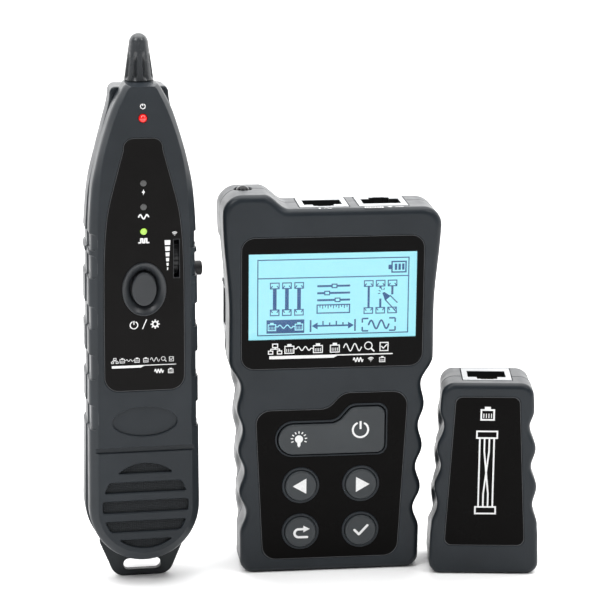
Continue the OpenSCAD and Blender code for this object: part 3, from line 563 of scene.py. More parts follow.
def dress_cad_nodes():
    """Gives every CAD node that stays the material of its slot."""
    for part in frame["record"]["subparts"]:
        node = frame["nodes"][part["node"]]
        material = MAT[part["material_slot"]]
        if not node.material_slots:
            node.data.materials.append(material)
        for holder in node.material_slots:
            holder.material = material


dress_cad_nodes()


# ---------- flat prints ----------

def stroke(points, width, closed=False):
    """Quads along a line, with round joints."""
    shapes = []
    ends = list(zip(points, points[1:])) + ([(points[-1], points[0])] if closed else [])
    for a, b in ends:
        shapes += line(*a, *b, width)
    shapes += [oval(x, z, width / 2, width / 2, 10) for x, z in points]
    return shapes


def line(x0, z0, x1, z1, width):
    side = Vector((x1 - x0, z1 - z0)).orthogonal().normalized() * width / 2
    return [[(x0 + side.x, z0 + side.y), (x1 + side.x, z1 + side.y),
             (x1 - side.x, z1 - side.y), (x0 - side.x, z0 - side.y)]]


def bar(x0, z0, x1, z1):
    return [box_points(x0, z0, x1, z1)]


def frame_lines(x0, z0, x1, z1, width):
    w = width / 2
    return (line(x0 - w, z0, x1 + w, z0, width) + line(x0 - w, z1, x1 + w, z1, width)
            + line(x0, z0, x0, z1, width) + line(x1, z0, x1, z1, width))


def at(shapes, x, z, size=1.0):
    return [[(x + u * size, z + v * size) for u, v in s] for s in shapes]


def clusters(shapes):
    """Groups of shapes whose bounds touch."""
    groups = []
    for shape in shapes:
        xs, zs = zip(*shape)
        box, members = [min(xs), min(zs), max(xs), max(zs)], [shape]
        apart = []
        for other, held in groups:
            if (box[0] > other[2] or other[0] > box[2] or box[1] > other[3] or other[1] > box[3]):
                apart.append((other, held))
            else:
                box = [min(box[0], other[0]), min(box[1], other[1]),
                       max(box[2], other[2]), max(box[3], other[3])]
                members = held + members
        groups = apart + [(box, members)]
    return [held for _, held in groups]


def flat_mesh(shapes):
    """One triangulated sheet that covers every shape once."""
    points, cells = [], []
    for group in clusters(shapes):
        verts, faces = [], []
        for shape in group:
            faces.append(list(range(len(verts), len(verts) + len(shape))))
            verts += [Vector((round(x, 3), round(z, 3))) for x, z in shape[::turning(shape)]]
        flat, _, parts, _, _, sources = delaunay_2d_cdt(verts, [], faces, 1, 1e-4)
        cells += [[len(points) + i for i in part] for part, src in zip(parts, sources) if src]
        points += flat
    return points, cells


def printed(name, shapes, body, look, t0, t1, axis="y"):
    """Prints shapes as a thin layer from level t0 to t1."""
    verts, faces = flat_mesh(shapes)
    n = len(verts)
    rims = {}
    for f in faces:
        for a, b in zip(f, list(f[1:]) + [f[0]]):
            rims[(a, b)] = rims.get((a, b), 0) + 1
    points = [PLACE[axis](t0, v) for v in verts] + [PLACE[axis](t1, v) for v in verts]
    skin = [tuple(f) for f in faces] + [tuple(n + i for i in reversed(f)) for f in faces]
    skin += [(b, a, a + n, b + n) for a, b in rims if (b, a) not in rims]
    place(mesh_object(name, points, skin), body, look)


# ---------- emitter ----------

TOP = 118               # level that carries the jacks
LAMP_TOP = 122.6        # raised corner with the lamp
PART_Y = 11.5           # parting plane
FRONT_EDGE = 2.2        # radius round the front
DEPTH = 30
RISE_FOOT = -13.5
LAMP_EDGE = -21.5
TROUGH = [19.9, 33.6, 47.3, 61]
CREST = [13.1, 26.8, 40.5, 54.2]
KEYS = {"left": (-9.6, 29), "right": (9.6, 29), "back": (-9.6, 13.65), "ok": (9.6, 13.65)}
KEY_R = 4.95
TOP_JACKS = {"poe": (-2.4, -1), "length": (16.2, 1)}
SIDE_JACKS = {"side": 98.8, "loop": 82.7}
JACK_W = 15.4
JACK_D = 13.6
JACK_FRONT = 3.5
SIDE_JACK_Y = 13.2
LAMP = (-27, PART_Y)
LAMP_R = 2.4
LAMP_RIM = 121          # level where its dome starts
KEY_COLLAR = 5.95
KEY_FACE = -1.1         # how far the keys stand proud
KEYPAD_FACE = 0.1
ROCKER_GAP = 1.05
WINDOW = (-28.6, 67.3, 28.6, 109.4)     # display border
WINDOW_R = 4.2
DOOR = (-20, 14, 20, 68)
CHARGE_PORT = (20, 69.6, 2.6)
EMITTER_BOSSES = [(-20.6, 7.2), (20.6, 7.2), (-27.3, 109.7), (27.3, 109.7)]


def grip_keys(foot, crest, trough, shoulders):
    keys = [(4, foot)]
    for i in range(4):
        keys += [(CREST[i], crest[0] + crest[1] * i), (TROUGH[i], trough[0] + trough[1] * i)]
    return keys + shoulders


def blended(keys, other, m):
    """Key table m of the way from one to another at the same levels."""
    return [(z, a * (1 - m) + b * m) for (z, a), (_, b) in zip(keys, other)]


FRONT_SIDE = grip_keys(28.6, (28.7, 0.35), (26.8, 0.6), [(70, 32.3), (84, 32.2), (116, 34.2)])
BACK_SIDE = grip_keys(27.6, (27.3, 0.35), (28.1, 0.55), [(70, 31.6), (84, 32.2), (116, 34.2)])
SIDE_STEPS = 150
RISE_STEPS = 16


def side_chain(keys, d, top, rb, rt, steps):
    """Right side from the floor to a rounded corner at height top, inset by d."""
    zb, zt = d + rb, top - rt
    inner = [zb + (zt - zb) * i / steps for i in range(1, steps)]
    return (arc((ease(keys, zb) - d - rb, zb), rb, -90, 0, 8)
            + [(ease(keys, z) - d, z) for z in inner]
            + arc((ease(keys, zt) - d - rt, zt), rt, 0, 90, 10))


def emitter_outline(keys, d, drop):
    """Emitter outline with its sides inset by d and its top face lowered by drop."""
    rb, rt = 4 - 0.6 * d, 6 - 0.7 * d
    right = side_chain(keys, d, TOP - drop, rb, rt, SIDE_STEPS)
    for k in range(RISE_STEPS + 1):
        t = k / RISE_STEPS
        lift = (LAMP_TOP - TOP) * (1 - cos(pi * t)) / 2
        right.append((RISE_FOOT - 0.5 * d + (LAMP_EDGE - RISE_FOOT) * t, TOP - drop + lift))
    left = side_chain(keys, d, LAMP_TOP - drop, rb, rt, SIDE_STEPS + RISE_STEPS + 1)
    return right + mirrored(left)


def rocker_outline(d):
    return rounded([
        (-17.9 + d, 38.4 + d, 5.9 - d), (17.9 - d, 38.4 + d, 3.2 - 0.6 * d),
        (17.9 - d, 55.5 - d, 3.2 - 0.6 * d), (5.8 + 0.5 * d, 55.5 - d, 4.2 - 0.5 * d),
        (1.3 + 0.5 * d, 50.3 - d, 4.8), (-17.9 + d, 50.3 - d, 5.9 - d)], 12)


def plate_outline(d):
    return rounded([
        (-21.6 + d, 4.45 + d, 4.5), (21.6 - d, 4.45 + d, 4.5), (24.3 - d, 59.1 - d, 4.5),
        (3.6 + 0.5 * d, 59.1 - d, 5.5), (-1.2 + 0.5 * d, 53.9 - d, 5.5),
        (-24.1 + d, 53.9 - d, 4.5)], 12)


EMITTER_CAVITY = [
    (-24.2, 2.8), (24.2, 2.8), (24.9, 58), (29.8, 68), (31.2, 112), (31.2, 115.4),
    (-16, 115.4), (-21, 120), (-31.2, 120), (-31.2, 112), (-29.8, 68), (-24.9, 58)]
REAR_CAVITY = [
    (-24.2, 2.8), (24.2, 2.8), (24.9, 58), (29.8, 68), (31, 109.6), (-31, 109.6),
    (-29.8, 68), (-24.9, 58)]


def jack_mouth(x, front, depth, gap):
    """Opening for a jack in a top face, seen from above."""
    half = JACK_W / 2 + gap
    return round_box(x - half, front - gap, x + half, front + depth + gap, 0.4, 3)


def emitter_top_wells():
    """Cutters for the two top jacks and the lamp."""
    tools = []
    for x, _ in TOP_JACKS.values():
        tools.append(well(jack_mouth(x, JACK_FRONT, JACK_D, 0.25), TOP, -6, 0.25, "z", 8))
    tools.append(well(disc(*LAMP, 2.8), LAMP_TOP, -7, 0.5, "z", 3))
    return tools


def collar(points_out, points_in, top, foot):
    """Raised lip between two outlines, rounded over at its front edge."""
    lip = pad("collar", points_out, top, foot, 0.3)
    return cut(lip, well(points_in, top, foot - top + 1, 0.25))


def emitter_front_case():
    rings = [(depth, emitter_outline(FRONT_SIDE, inset, inset))
             for inset, depth in quarter(FRONT_EDGE, 10)]
    rings += [(PART_Y - SEAM, emitter_outline(FRONT_SIDE, 0, 0)),
              (PART_Y, emitter_outline(FRONT_SIDE, SEAM, SEAM))]
    case = stack("emitter_front_case", rings)
    cut(case,
        prism(EMITTER_CAVITY, WALL, PART_Y + 1),
        well(inner_box(WINDOW, -FIT, WINDOW_R + 0.1), 0, 1.1, 0.3),
        block(-27, -1, 75.6, 27, BEHIND, 104.8),
        well(plate_outline(-FIT), 0, 0.6, 0.3),
        *emitter_top_wells(),
        prism(rocker_outline(0.7), -1, BEHIND),
        *bars(KEYS.values(), KEY_R + FIT, -1, BEHIND))
    join(case,
         collar(rocker_outline(0.05), rocker_outline(0.7), -0.35, 0.8),
         *[collar(disc(*k, KEY_COLLAR), disc(*k, KEY_R + FIT), -0.35, 0.8)
           for k in KEYS.values()],
         *bars(EMITTER_BOSSES, 2.7, 1.8, PART_Y))
    cut(case, *bars(EMITTER_BOSSES, 1.05, 4, PART_Y + 1))
    place(case, "emitter", "housing", "emitter_front_shell")


def back_levels(start, end):
    """Depths that bunch up towards the back face."""
    steps = 12
    return [start + (end - start) * sin(pi / 2 * k / steps) for k in range(steps + 1)]


def emitter_back_case():
    insets = [(22, 0), (26, 0.6), (28.4, 1.8), (29.6, 3), (DEPTH, 4)]
    drops = [(17.4, 0), (19.6, 0.35), (22, 1.05), (26, 2.6), (28.4, 3.8), (29.6, 4.4), (DEPTH, 4.8)]
    rings = [(PART_Y, emitter_outline(FRONT_SIDE, SEAM, SEAM))]
    twist = [PART_Y + SEAM + 0.58 * k for k in range(10)]
    for y in twist + [17.4, 18.4, 19.6, 20.8] + back_levels(22, DEPTH):
        m = ease([(PART_Y, 0), (17.4, 1)], y)
        side = blended(FRONT_SIDE, BACK_SIDE, m)
        rings.append((y, emitter_outline(side, flow(insets, y), flow(drops, y))))
    case = stack("emitter_back_case", rings)
    cut(case, prism(EMITTER_CAVITY, PART_Y - 1, 20.5),
        prism(REAR_CAVITY, 19.5, DEPTH - WALL))
    join(case, *bars(EMITTER_BOSSES, 2.9, PART_Y, 28.2))
    cut(case, *emitter_top_wells(),
        *bars(EMITTER_BOSSES, 1.3, PART_Y - 1, DEPTH + 1),
        *screw_wells(EMITTER_BOSSES, 2.2, DEPTH, -16, 0.5))
    for z in SIDE_JACKS.values():
        half = JACK_W / 2 + 0.2
        mouth = round_box(SIDE_JACK_Y - 0.2, z - half, SIDE_JACK_Y + JACK_D + 0.2, z + half, 0.4, 3)
        cut(case, prism(mouth, -40, -26, "x"))
    cut(case,
        prism(disc(*CHARGE_PORT), -40, -26, "x"),
        well(inner_box(DOOR, 0, 2.5), DEPTH, -1.6, 0.25),
        prism(inner_box(DOOR, 1.6, 1.5), 26.8, DEPTH + 1))
    place(case, "emitter", "housing", "emitter_back_shell")


def ribbed_door(name, box, r, depth, body, node, pitch, half):
    """Battery cover with a thumb grip of ribs near its top edge."""
    door = pad(name, inner_box(box, FIT, r), depth, depth - 1.5, 0.3)
    z1 = box[3]
    ribs = []
    for k in range(5):
        z = z1 - 5 - pitch * k
        ribs.append(well(round_box(-half, z, half, z + 0.8, 0.39, 4), depth, -0.5, 0.15))
    thumb = arc((0, z1 - 6 - pitch * 5), half * 0.8, 200, 340, 12)
    ribs.append(well(thumb, depth, -0.4, 0.2))
    cut(door, *ribs)
    place(door, body, "housing", node)


def cut_edge_highlight(name, outline, face, unit):
    """Pale rim along an overlay's outer edge: partly its lighter cut edge, partly a painted highlight
    along that edge.
    """
    rim = cut(prism(outline(0), face - 0.02, face + 0.25, name=name),
              prism(outline(0.16), -1, 1))
    place(rim, unit, "label_edge")


def border_outline(d):
    return inner_box(WINDOW, d, WINDOW_R - d)


def display_front():
    border = pad("display_border", border_outline(0), OVERLAY, OVERLAY + 1, 0.12)
    cut(border, block(-26.3, -1, 76.8, 26.3, 2, 104.2))
    place(border, "emitter", "window_glass", "display_window")
    cut_edge_highlight("window_edge", border_outline, OVERLAY, "emitter")
    pane = pad("display_pane", box_points(-26.25, 76.85, 26.25, 104.15), 0.07, 0.8, 0.04, 0.04)
    place(pane, "emitter", "pane")


def keypad_panel():
    panel = pad("keypad_panel", plate_outline(0), KEYPAD_FACE, 0.6, 0.1)
    cut(panel, prism(rocker_outline(0), -1, 2), *bars(KEYS.values(), 6, -1, 2))
    place(panel, "emitter", "panel_black", "keypad_plate")
    cut_edge_highlight("keypad_edge", plate_outline, KEYPAD_FACE, "emitter")


def rocker():
    cap = stack("rocker_cap",
                [(KEY_FACE + deep, rocker_outline(ROCKER_GAP + inset)) for inset, deep in quarter(0.45)]
                + [(2, rocker_outline(ROCKER_GAP))])
    join(cap, block(2.5, 1.8, 40.5, 4.5, 2.8, 50), lathe("axle", [(40.5, 1), (50, 1)], 3.5, 2.8, "z"))
    place(cap, "rocker", "key_plastic", "rocker_key")


def round_key(name):
    x, z = KEYS[name]
    profile = [(-0.98, 1.2), (-1.0, 2.8), (-1.07, 3.9)]
    profile += [(KEY_FACE + deep, KEY_R - inset) for inset, deep in quarter(0.5)]
    profile += [(2.25, KEY_R), (2.25, 5.85), (3.05, 5.85)]
    key = lathe(name + "_key_cap", profile, x, z)
    place(key, name + "_key", "key_plastic", "key_" + name)


def jack(name, node, unit, to_unit, latch, span, depth_y):
    """Jack with its mouth along its third axis, pale outside and dark inside."""
    w, mid = JACK_W / 2, depth_y / 2
    body = pad(name, round_box(-w, 0, w, depth_y, 0.3, 3), span, 0, 0.15, 0, "z")
    steps = [(5.95, mid - 3.4, mid + 3.4, 1.2),
             (3.2, mid + latch * 4.2 - 1.2, mid + latch * 4.2 + 1.2, 3.0),
             (1.9, mid + latch * 5.2 - 0.6, mid + latch * 5.2 + 0.6, 3.0)]
    cut(body, *[well(box_points(-x, a, x, b), span, floor - span, 0.18, "z")
                for x, a, b, floor in steps])
    for face in body.data.polygons:
        c = face.center
        inside = abs(c.x) < w - 0.4 and 0.4 < c.y < depth_y - 0.4 and 0.4 < c.z < span - 0.2
        face.material_index = 1 if inside else 0
    body.data.transform(to_unit)
    place(body, unit, "jack_plastic", node, lined="black_plastic")


def emitter_jacks():
    for name, (x, latch) in TOP_JACKS.items():
        shift = Matrix.Translation((x, JACK_FRONT, 106.8))
        jack(name + "_jack_body", name + "_jack", "emitter", shift, latch, 11.3, JACK_D)
    for name, z in SIDE_JACKS.items():
        turn = Matrix.Translation((-18, SIDE_JACK_Y, z)) @ Matrix.Rotation(-pi / 2, 4, "Y")
        jack(name + "_jack_body", name + "_jack", "emitter", turn, -1, 13.8, JACK_D)


def jack_lights():
    """Two indicator windows at the rear corners of the length jack."""
    x = TOP_JACKS["length"][0]
    for side, name in ((-1, "left"), (1, "right")):
        cx = x + side * 5.5
        lamp = pad("jack_light_" + name, round_box(cx - 1.5, 15.5, cx + 1.5, 16.9, 0.3, 3),
                   118.16, 117.9, 0.06, 0, "z")
        place(lamp, "emitter", "jack_light")


def flash_lamp():
    r = LAMP_R
    profile = [(113, r), (LAMP_RIM, r)]
    profile += [(LAMP_RIM + 0.2 + r * sin(radians(a)), r * cos(radians(a))) for a in range(6, 88, 9)]
    dome = lathe("flash_lamp_dome", profile, *LAMP, "z", 48)
    place(dome, "emitter", "clear_lens", "flash_led")


def build_emitter():
    emitter_front_case()
    emitter_back_case()
    ribbed_door("emitter_battery_cover", DOOR, 2.4, DEPTH, "emitter_door", "emitter_battery_door",
                1.8, 7)
    display_front()
    keypad_panel()
    rocker()
    for name in KEYS:
        round_key(name)
    emitter_jacks()
    flash_lamp()


# ---------- receiver ----------

FACE_SIDE = [(26, 14.6), (61, 14.3), (108, 14), (126, 13.2), (135, 12.2), (143.8, 9.95),
             (152, 6.9), (158.6, 3.7)]
SEAM_SIDE = [(26, 17.2), (61, 16.9), (108, 16.5), (126, 15.5), (133, 14.3), (142, 12),
             (151.5, 8.9), (158.6, 5.2)]
REAR_SIDE = [(26, 17.9), (61, 17.3), (108, 17), (122, 16.2), (129, 15.2), (137, 13.2),
             (145, 11.1), (152, 9.3), (156, 8.9), (160.4, 8.8)]
PLATE_SIDE = [(64, 12.35), (98, 12.25), (110.4, 11.85), (118.7, 11.05), (123.9, 10),
              (133.4, 7.5), (139, 6)]
BEVEL = [(0, 0), (0.3, 0.14), (2.2, 0.82), (3.2, 1)]
NOTCHES = [(55.4, 7.9), (71.4, 8), (87, 7.3), (103, 7.3), (110.7, 5.2)]
CHIN_Z = 26
R_TOP = 158.6
CAVITY_TOP = 151.5
R_DOOR = (-13, 27, 13, 78)
TIP_TOP = 172.9
TIP_NOSE = 2.9          # radius of its rounded end
FINE = 96               # corners of the finest round outlines
SHOULDER_Z = 156.8
R_PART_Y = 9
R_DEPTH = 24
LED_Z = {"power": 148.7, "ncv": 128.9, "analog": 121.6, "digital": 114}
BUTTON_Z = 96.1
WHEEL_X = 9.95
WHEEL_SLOT = (99.3, 111.4)
GRILLE_Z = 26.7
GRILLE_RX = 13.35
GRILLE_RZ = 13.95
SLOTS = [(37.4, 41), (31.1, 34.6), (24.6, 28.5), (18.3, 21.9), (12.5, 15.8)]
R_BOSSES = [(-9.2, 139), (9.2, 139), (-12.4, 21.5), (12.4, 21.5)]
TIP_Y = 10
FLUTES = 8
LAMP_KEY = (13.6, 98.9)


def notch_half(width, centre, height, s, floor, rc, re):
    """Points from the mouth of a grip notch to its floor; s is -1 below and 1 above."""
    z0 = centre + s * height / 2

    def wall_z(x):
        turn = asin(clamp((floor + rc - x) / rc))
        return z0 - s * rc * (1 - cos(turn)), turn

    corner, _ = wall_z(width(z0))
    a = Vector((width(corner + s * re), corner + s * re))
    b = Vector((width(corner), corner))
    x2 = max(b.x - re, min(floor, b.x))
    z2, turn = wall_z(x2)
    c = Vector((x2, z2))
    points = [a * (1 - t) ** 2 + b * 2 * t * (1 - t) + c * t * t for t in (0, .2, .4, .6, .8, 1)]
    for k in range(1, 9):
        q = turn + (pi / 2 - turn) * k / 8
        points.append(Vector((floor + rc - rc * sin(q), z0 - s * rc * (1 - cos(q)))))
    return [(min(p.x, width(p.y)), p.y) for p in points]


def receiver_outline(keys, other, m, d, drop, top, corner, notch, squeeze):
    """Receiver outline m of the way from one key table to another, inset by d.

    Drop is the chin's depth, notch the depth of the grip notches, and squeeze how much of
    their full height they keep here."""
    rc, re = 0.45, 0.12
    table = [(z, flow(keys, z) * (1 - m) + flow(other, z) * m - d) for z, _ in keys]

    def width(z):
        return flow(table, z)

    w0 = table[0][1]
    chain = [(w0 * cos(radians(a)), CHIN_Z + drop * sin(radians(a))) for a in range(-88, 0, 4)]
    z = CHIN_Z
    gap = re + 0.08
    full_z = CHIN_Z
    for centre, full in NOTCHES + [(top - corner + gap, 0)]:
        height = full * squeeze
        end = centre - height / 2 - gap
        start = z
        count = round((centre - full / 2 - full_z) / 0.8) if full else 56
        full_z = centre + full / 2
        chain += [(width(start + (end - start) * k / count), start + (end - start) * k / count)
                  for k in range(count + 1)]
        if full:
            floor = width(centre) - notch
            chain += notch_half(width, centre, height, -1, floor, rc, re)
            chain.append((floor, centre))
            chain += reversed(notch_half(width, centre, height, 1, floor, rc, re))
            z = centre + height / 2 + gap
    at_top = width(top)
    chain += [(at_top - corner * (1 - cos(a)), top - corner * (1 - sin(a)))
              for a in (radians(18 * k) for k in range(1, 6))]
    return chain + mirrored(chain)


def front_ring(y, d):
    """Ring of the front shell; the notches end in a half round towards the face."""
    m = flow(BEVEL, y)
    reach = clamp((y - 0.1) / 1.6)
    squeeze = 0.5 + 0.5 * sqrt(1 - (1 - reach) ** 2)
    return receiver_outline(FACE_SIDE, SEAM_SIDE, m, d, 14.5 + 3.6 * m - d,
                            R_TOP - 0.4 * (1 - m) - 0.5 * d, 0.6,
                            0.02 + 0.6 * min(reach * 8, 1), squeeze)


def rear_ring(d):
    return receiver_outline(REAR_SIDE, REAR_SIDE, 1, d, 18.2 - d, SHOULDER_Z - 0.5 * d,
                            1.6, 0.6, 1)


def receiver_cavity(inset):
    side = [((14.6 - inset) * cos(radians(a)),
             CHIN_Z + (14.5 - inset) * sin(radians(a))) for a in range(-84, 1, 14)]
    side += [(flow(FACE_SIDE, z) - inset, z) for z in (60, 108, 126, 135, 143, CAVITY_TOP)]
    return side + mirrored(side)


def faceplate_outline(d):
    foot = 4.6
    chain = arc((12.35 - foot, 64 + foot), foot - d, -90, 0, 10)
    rise = 139 - 64 - foot
    chain += [(flow(PLATE_SIDE, z) - d, z) for z in (64 + foot + rise * i / 48 for i in range(1, 49))]
    chain += arc((2.9, 139.6), 3.1 - d, 12, 90, 8)
    return chain + mirrored(chain)


def slot_outline(z0, z1):
    """Grille slot: a band of the oval, with slightly clipped ends."""
    def turn(z):
        return asin(clamp((z - GRILLE_Z) / GRILLE_RZ, -1))

    def half(z):
        return GRILLE_RX * cos(turn(z))

    low, high = turn(z0 + 0.3), turn(z1 - 0.3)
    right = []
    if half(z0) > 1:
        right.append((half(z0) - 0.5, z0))
    else:
        low = -pi / 2 + 0.06
    if half(z1) <= 1:
        high = pi / 2 - 0.06
    right += [(GRILLE_RX * cos(a), GRILLE_Z + GRILLE_RZ * sin(a))
              for a in (low + (high - low) * k / 12 for k in range(13))]
    if half(z1) > 1:
        right.append((half(z1) - 0.5, z1))
    return right + mirrored(right)


def tip_bore():
    return prism(disc(0, TIP_Y, 3.45), 150.5, 162.4, "z")


def receiver_front_case():
    rings = [(y, front_ring(y, 0)) for y in (3.2 * k / 24 for k in range(25))]
    rings += [(R_PART_Y - SEAM, front_ring(R_PART_Y, 0)), (R_PART_Y, front_ring(R_PART_Y, SEAM))]
    case = stack("receiver_front_case", rings)
    cut(case, prism(receiver_cavity(2), WALL, R_PART_Y + 1))
    join(case, *bars(R_BOSSES, 2.1, 1.9, R_PART_Y))
    cut(case,
        well(faceplate_outline(-FIT), 0, 0.55, 0.28),
        well(oval(0, 54, 10, 4.7), 0, 0.8, 0.3),
        well(round_box(-16.4, 44.2, 16.4, 45.9, 0.8), 0, 0.8, 0.25),
        prism(oval(0, GRILLE_Z, GRILLE_RX + 0.25, GRILLE_RZ + 0.25), 1, BEHIND),
        *[well(slot_outline(*s), 0, 1.5, 0.35) for s in SLOTS],
        prism(oval(0, BUTTON_Z, 6.05, 7.65), -1, BEHIND),
        block(WHEEL_X - 0.95, -1, WHEEL_SLOT[0], WHEEL_X + 0.95, BEHIND, WHEEL_SLOT[1]),
        *[well(disc(0, z, 1.35, 32), 0, BEHIND, 0.15) for z in LED_Z.values()],
        tip_bore(),
        *bars(R_BOSSES, 0.85, 3.4, R_PART_Y + 1))
    place(case, "receiver", "housing", "receiver_front_shell")


LOOP = (10.5, 13.1)     # front and back of the wrist loop


def loop_outer():
    return rounded([(-8.6, 0, 4.5), (8.6, 0, 4.5), (13.4, 11.5, 2), (12.8, 15, 0), (-12.8, 15, 0),
                    (-13.4, 11.5, 2)])


def loop_hole():
    return rounded([(-5.9, 2, 1.7), (5.9, 2, 1.7), (5.9, 5.6, 1.7), (-5.9, 5.6, 1.7)])


def receiver_back_case():
    rings = [(R_PART_Y, rear_ring(0.75)), (R_PART_Y + 0.12, rear_ring(0.42)),
             (R_PART_Y + 0.4, rear_ring(0.12)), (R_PART_Y + 0.8, rear_ring(0))]
    keys = [(18, 0.2), (21.5, 1), (23.3, 2.4), (R_DEPTH, 3.8)]
    rings.append((14, rear_ring(0.05)))
    rings += [(y, rear_ring(flow(keys, y))) for y in back_levels(18, R_DEPTH)]
    case = stack("receiver_back_case", rings)
    cut(case, prism(receiver_cavity(0.2), R_PART_Y - 1, R_DEPTH - WALL))
    seat = lathe("seat", [(SHOULDER_Z - 1, 5), (R_TOP - 0.4, 5), (R_TOP - 0.1, 4.7)], 0, TIP_Y, "z")
    cut(seat, block(-6, 4, 150, 6, R_PART_Y, 162))
    join(case, seat, *bars(R_BOSSES, 2.3, R_PART_Y, 22.1))
    cut(case,
        *bars(R_BOSSES, 1, R_PART_Y - 1, R_DEPTH + 1),
        *screw_wells(R_BOSSES, 1.75, R_DEPTH, -12, 0.4),
        cut(prism(loop_outer(), *LOOP), prism(loop_hole(), 9, 17)),
        prism(disc(*LAMP_KEY, 2.38), 12, 20, "x"),
        well(inner_box(R_DOOR, 0, 2), R_DEPTH, -1.5, 0.2),
        prism(inner_box(R_DOOR, 1.4, 1), 20.8, R_DEPTH + 1),
        tip_bore())
    place(case, "receiver", "housing", "receiver_back_shell")


def wrist_loop():
    front, back = LOOP
    loop = pad("wrist_loop", loop_outer(), front, back, 0.5, 0.5)
    cut(loop, well(loop_hole(), front, 1.6, 0.45), well(loop_hole(), back, -1.6, 0.45))
    # painted shade: the loop takes the darker loop_plastic
    place(loop, "receiver", "loop_plastic", "lanyard_loop")


def faceplate():
    plate = pad("receiver_face_panel", faceplate_outline(0), OVERLAY, 0.5, 0.12)
    cut(plate, prism(oval(0, BUTTON_Z, 6.8, 8.4), -1, 1),
        well(round_box(WHEEL_X - 0.85, 99.4, WHEEL_X + 0.85, 111.3, 0.3, 3), OVERLAY, 1, 0.12),
        *[well(disc(0, LED_Z[k], 1.05, 32), OVERLAY, 1, 0.12)
          for k in ("ncv", "analog", "digital")])
    place(plate, "receiver", "face_black", "receiver_faceplate")
    cut_edge_highlight("faceplate_edge", faceplate_outline, OVERLAY, "receiver")


def button_oval(rx, rz):
    return oval(0, BUTTON_Z, rx, rz, FINE)


def power_ring():
    profile = [(0.5, 6.75, 8.35), (-0.25, 6.75, 8.35), (-0.48, 6.68, 8.28), (-0.6, 6.48, 8.08),
               (-0.55, 6.2, 7.8), (-0.35, 5.9, 7.45), (0, 5.45, 7), (0.35, 5, 6.5),
               (0.8, 4.55, 6), (1.3, 4.2, 5.65), (2.1, 3.95, 5.4), (2.1, 6, 7.6), (0.5, 6, 7.6)]
    rings = [(t, button_oval(rx, rz)) for t, rx, rz in profile]
    ring = stack("power_button_surround", rings, "y", loop=True)
    place(ring, "receiver", "ring_plastic", "power_button_ring")


def power_button():
    profile = [(-0.4, 0.9), (-0.44, 2.1), (-0.49, 3.1), (-0.5, 3.35), (-0.45, 3.58), (-0.3, 3.74),
               (-0.05, 3.8), (2.25, 3.8)]
    rings = [(t, button_oval(r, r + 1.45)) for t, r in profile]
    rings += [(2.25, button_oval(5, 6.4)), (3, button_oval(5, 6.4)),
              (3, button_oval(1.4, 1.4)), (8.7, button_oval(1.4, 1.4))]
    button = stack("power_button_cap", rings)
    place(button, "power_button", "ring_plastic", "receiver_power_button")


def indicator(name, r, nose, look):
    """LED with a flange and a domed or flat-domed face."""
    z = LED_Z[name]
    front = 0.1
    profile = [(front - nose * cos(radians(a)), r * sin(radians(a))) for a in range(8, 90, 9)]
    profile += [(front + 0.01, r), (2.3, r), (2.3, 1.9), (5, 1.9)]
    led = lathe(name + "_indicator", profile, 0, z, "y", 32)
    place(led, "receiver", look, name + "_led")


def lamp_key():
    profile = [(19.6, 1.0), (19.59, 1.5), (19.53, 1.9), (19.35, 2.17), (19.05, 2.3), (13.2, 2.3),
               (13.2, 3), (12.2, 3)]
    key = lathe("lamp_key_cap", profile, *LAMP_KEY, "x", 40)
    place(key, "lamp_key", "black_plastic", "lamp_button")


def probe_nose():
    """Tapered tip with eight soft flutes round its lower half."""
    levels = [(152, 3.4), (R_TOP - 0.4, 3.4), (R_TOP, 3.42)]
    rings = [(z, disc(0, TIP_Y, r, FINE)) for z, r in levels]
    straight = TIP_TOP - TIP_NOSE
    for k in range(29):
        z = R_TOP + (straight - R_TOP) * k / 28
        t = (z - R_TOP) / (straight - R_TOP)
        r = 4.5 - 0.62 * min(t / 0.4, 1) - (0.98 * max(t - 0.4, 0) / 0.6)
        if k == 0:
            r = 4.3
        deep = 0.85 * clamp((R_TOP + 9 - z) / 3) * clamp((z - R_TOP - 0.6) / 0.8)
        ring = []
        for i in range(FINE):
            a = 2 * pi * i / FINE
            q = r - deep * max(cos(FLUTES * (a - pi / FLUTES)), 0) ** 1.5
            ring.append((q * cos(a), TIP_Y + q * sin(a)))
        rings.append((z, ring))
    rings += [(straight + TIP_NOSE * sin(a), disc(0, TIP_Y, TIP_NOSE * cos(a), FINE))
              for a in (radians(x) for x in range(7, 88, 8))]
    tip = stack("probe_nose", rings, "z")
    cut(tip, prism(disc(0, TIP_Y, 1.3), 151, 165, "z"))
    place(tip, "receiver", "tip_black", "probe_tip")


def build_receiver():
    receiver_front_case()
    receiver_back_case()
    wrist_loop()
    faceplate()
    power_ring()
    power_button()
    indicator("power", 1.25, 1.25, "led_red")
    for name, look in (("ncv", "led_grey"), ("analog", "led_grey"), ("digital", "led_green")):
        indicator(name, 0.98, 0.05, look)
    lamp_key()
    probe_nose()
    ribbed_door("receiver_battery_cover", R_DOOR, 1.9, R_DEPTH, "receiver_door",
                "receiver_battery_door", 1.6, 5)


# ---------- remote ----------

M_TOP = 63
M_PART_Y = 9
M_DEPTH = 22.5
M_WALL = 2
M_EDGE = 1.8
REMOTE_FRONT = [(4, 17.3), (12, 17.1), (16.1, 16.8), (23, 15.1), (28.9, 16.2), (35.7, 14.3),
                (41.5, 15.6), (48.8, 13.5), (54, 14.8), (63, 14.3)]
REMOTE_BACK = [(4, 17.3), (12, 17.1), (16.1, 15.6), (23, 16.4), (28.9, 14.9), (35.7, 15.6),
               (41.5, 14.3), (48.8, 14.8), (54, 14), (63, 14.3)]
REMOTE_CAVITY = [(-14.2, 2.4), (14.2, 2.4), (13.2, 20), (12, 34), (11.3, 48), (11.8, 60.6),
                 (-11.8, 60.6), (-11.3, 48), (-12, 34), (-13.2, 20)]
REMOTE_JACK_Y = 4.6
REMOTE_JACK_D = 13.4
M_BOSSES = [(0, 7), (0, 44)]


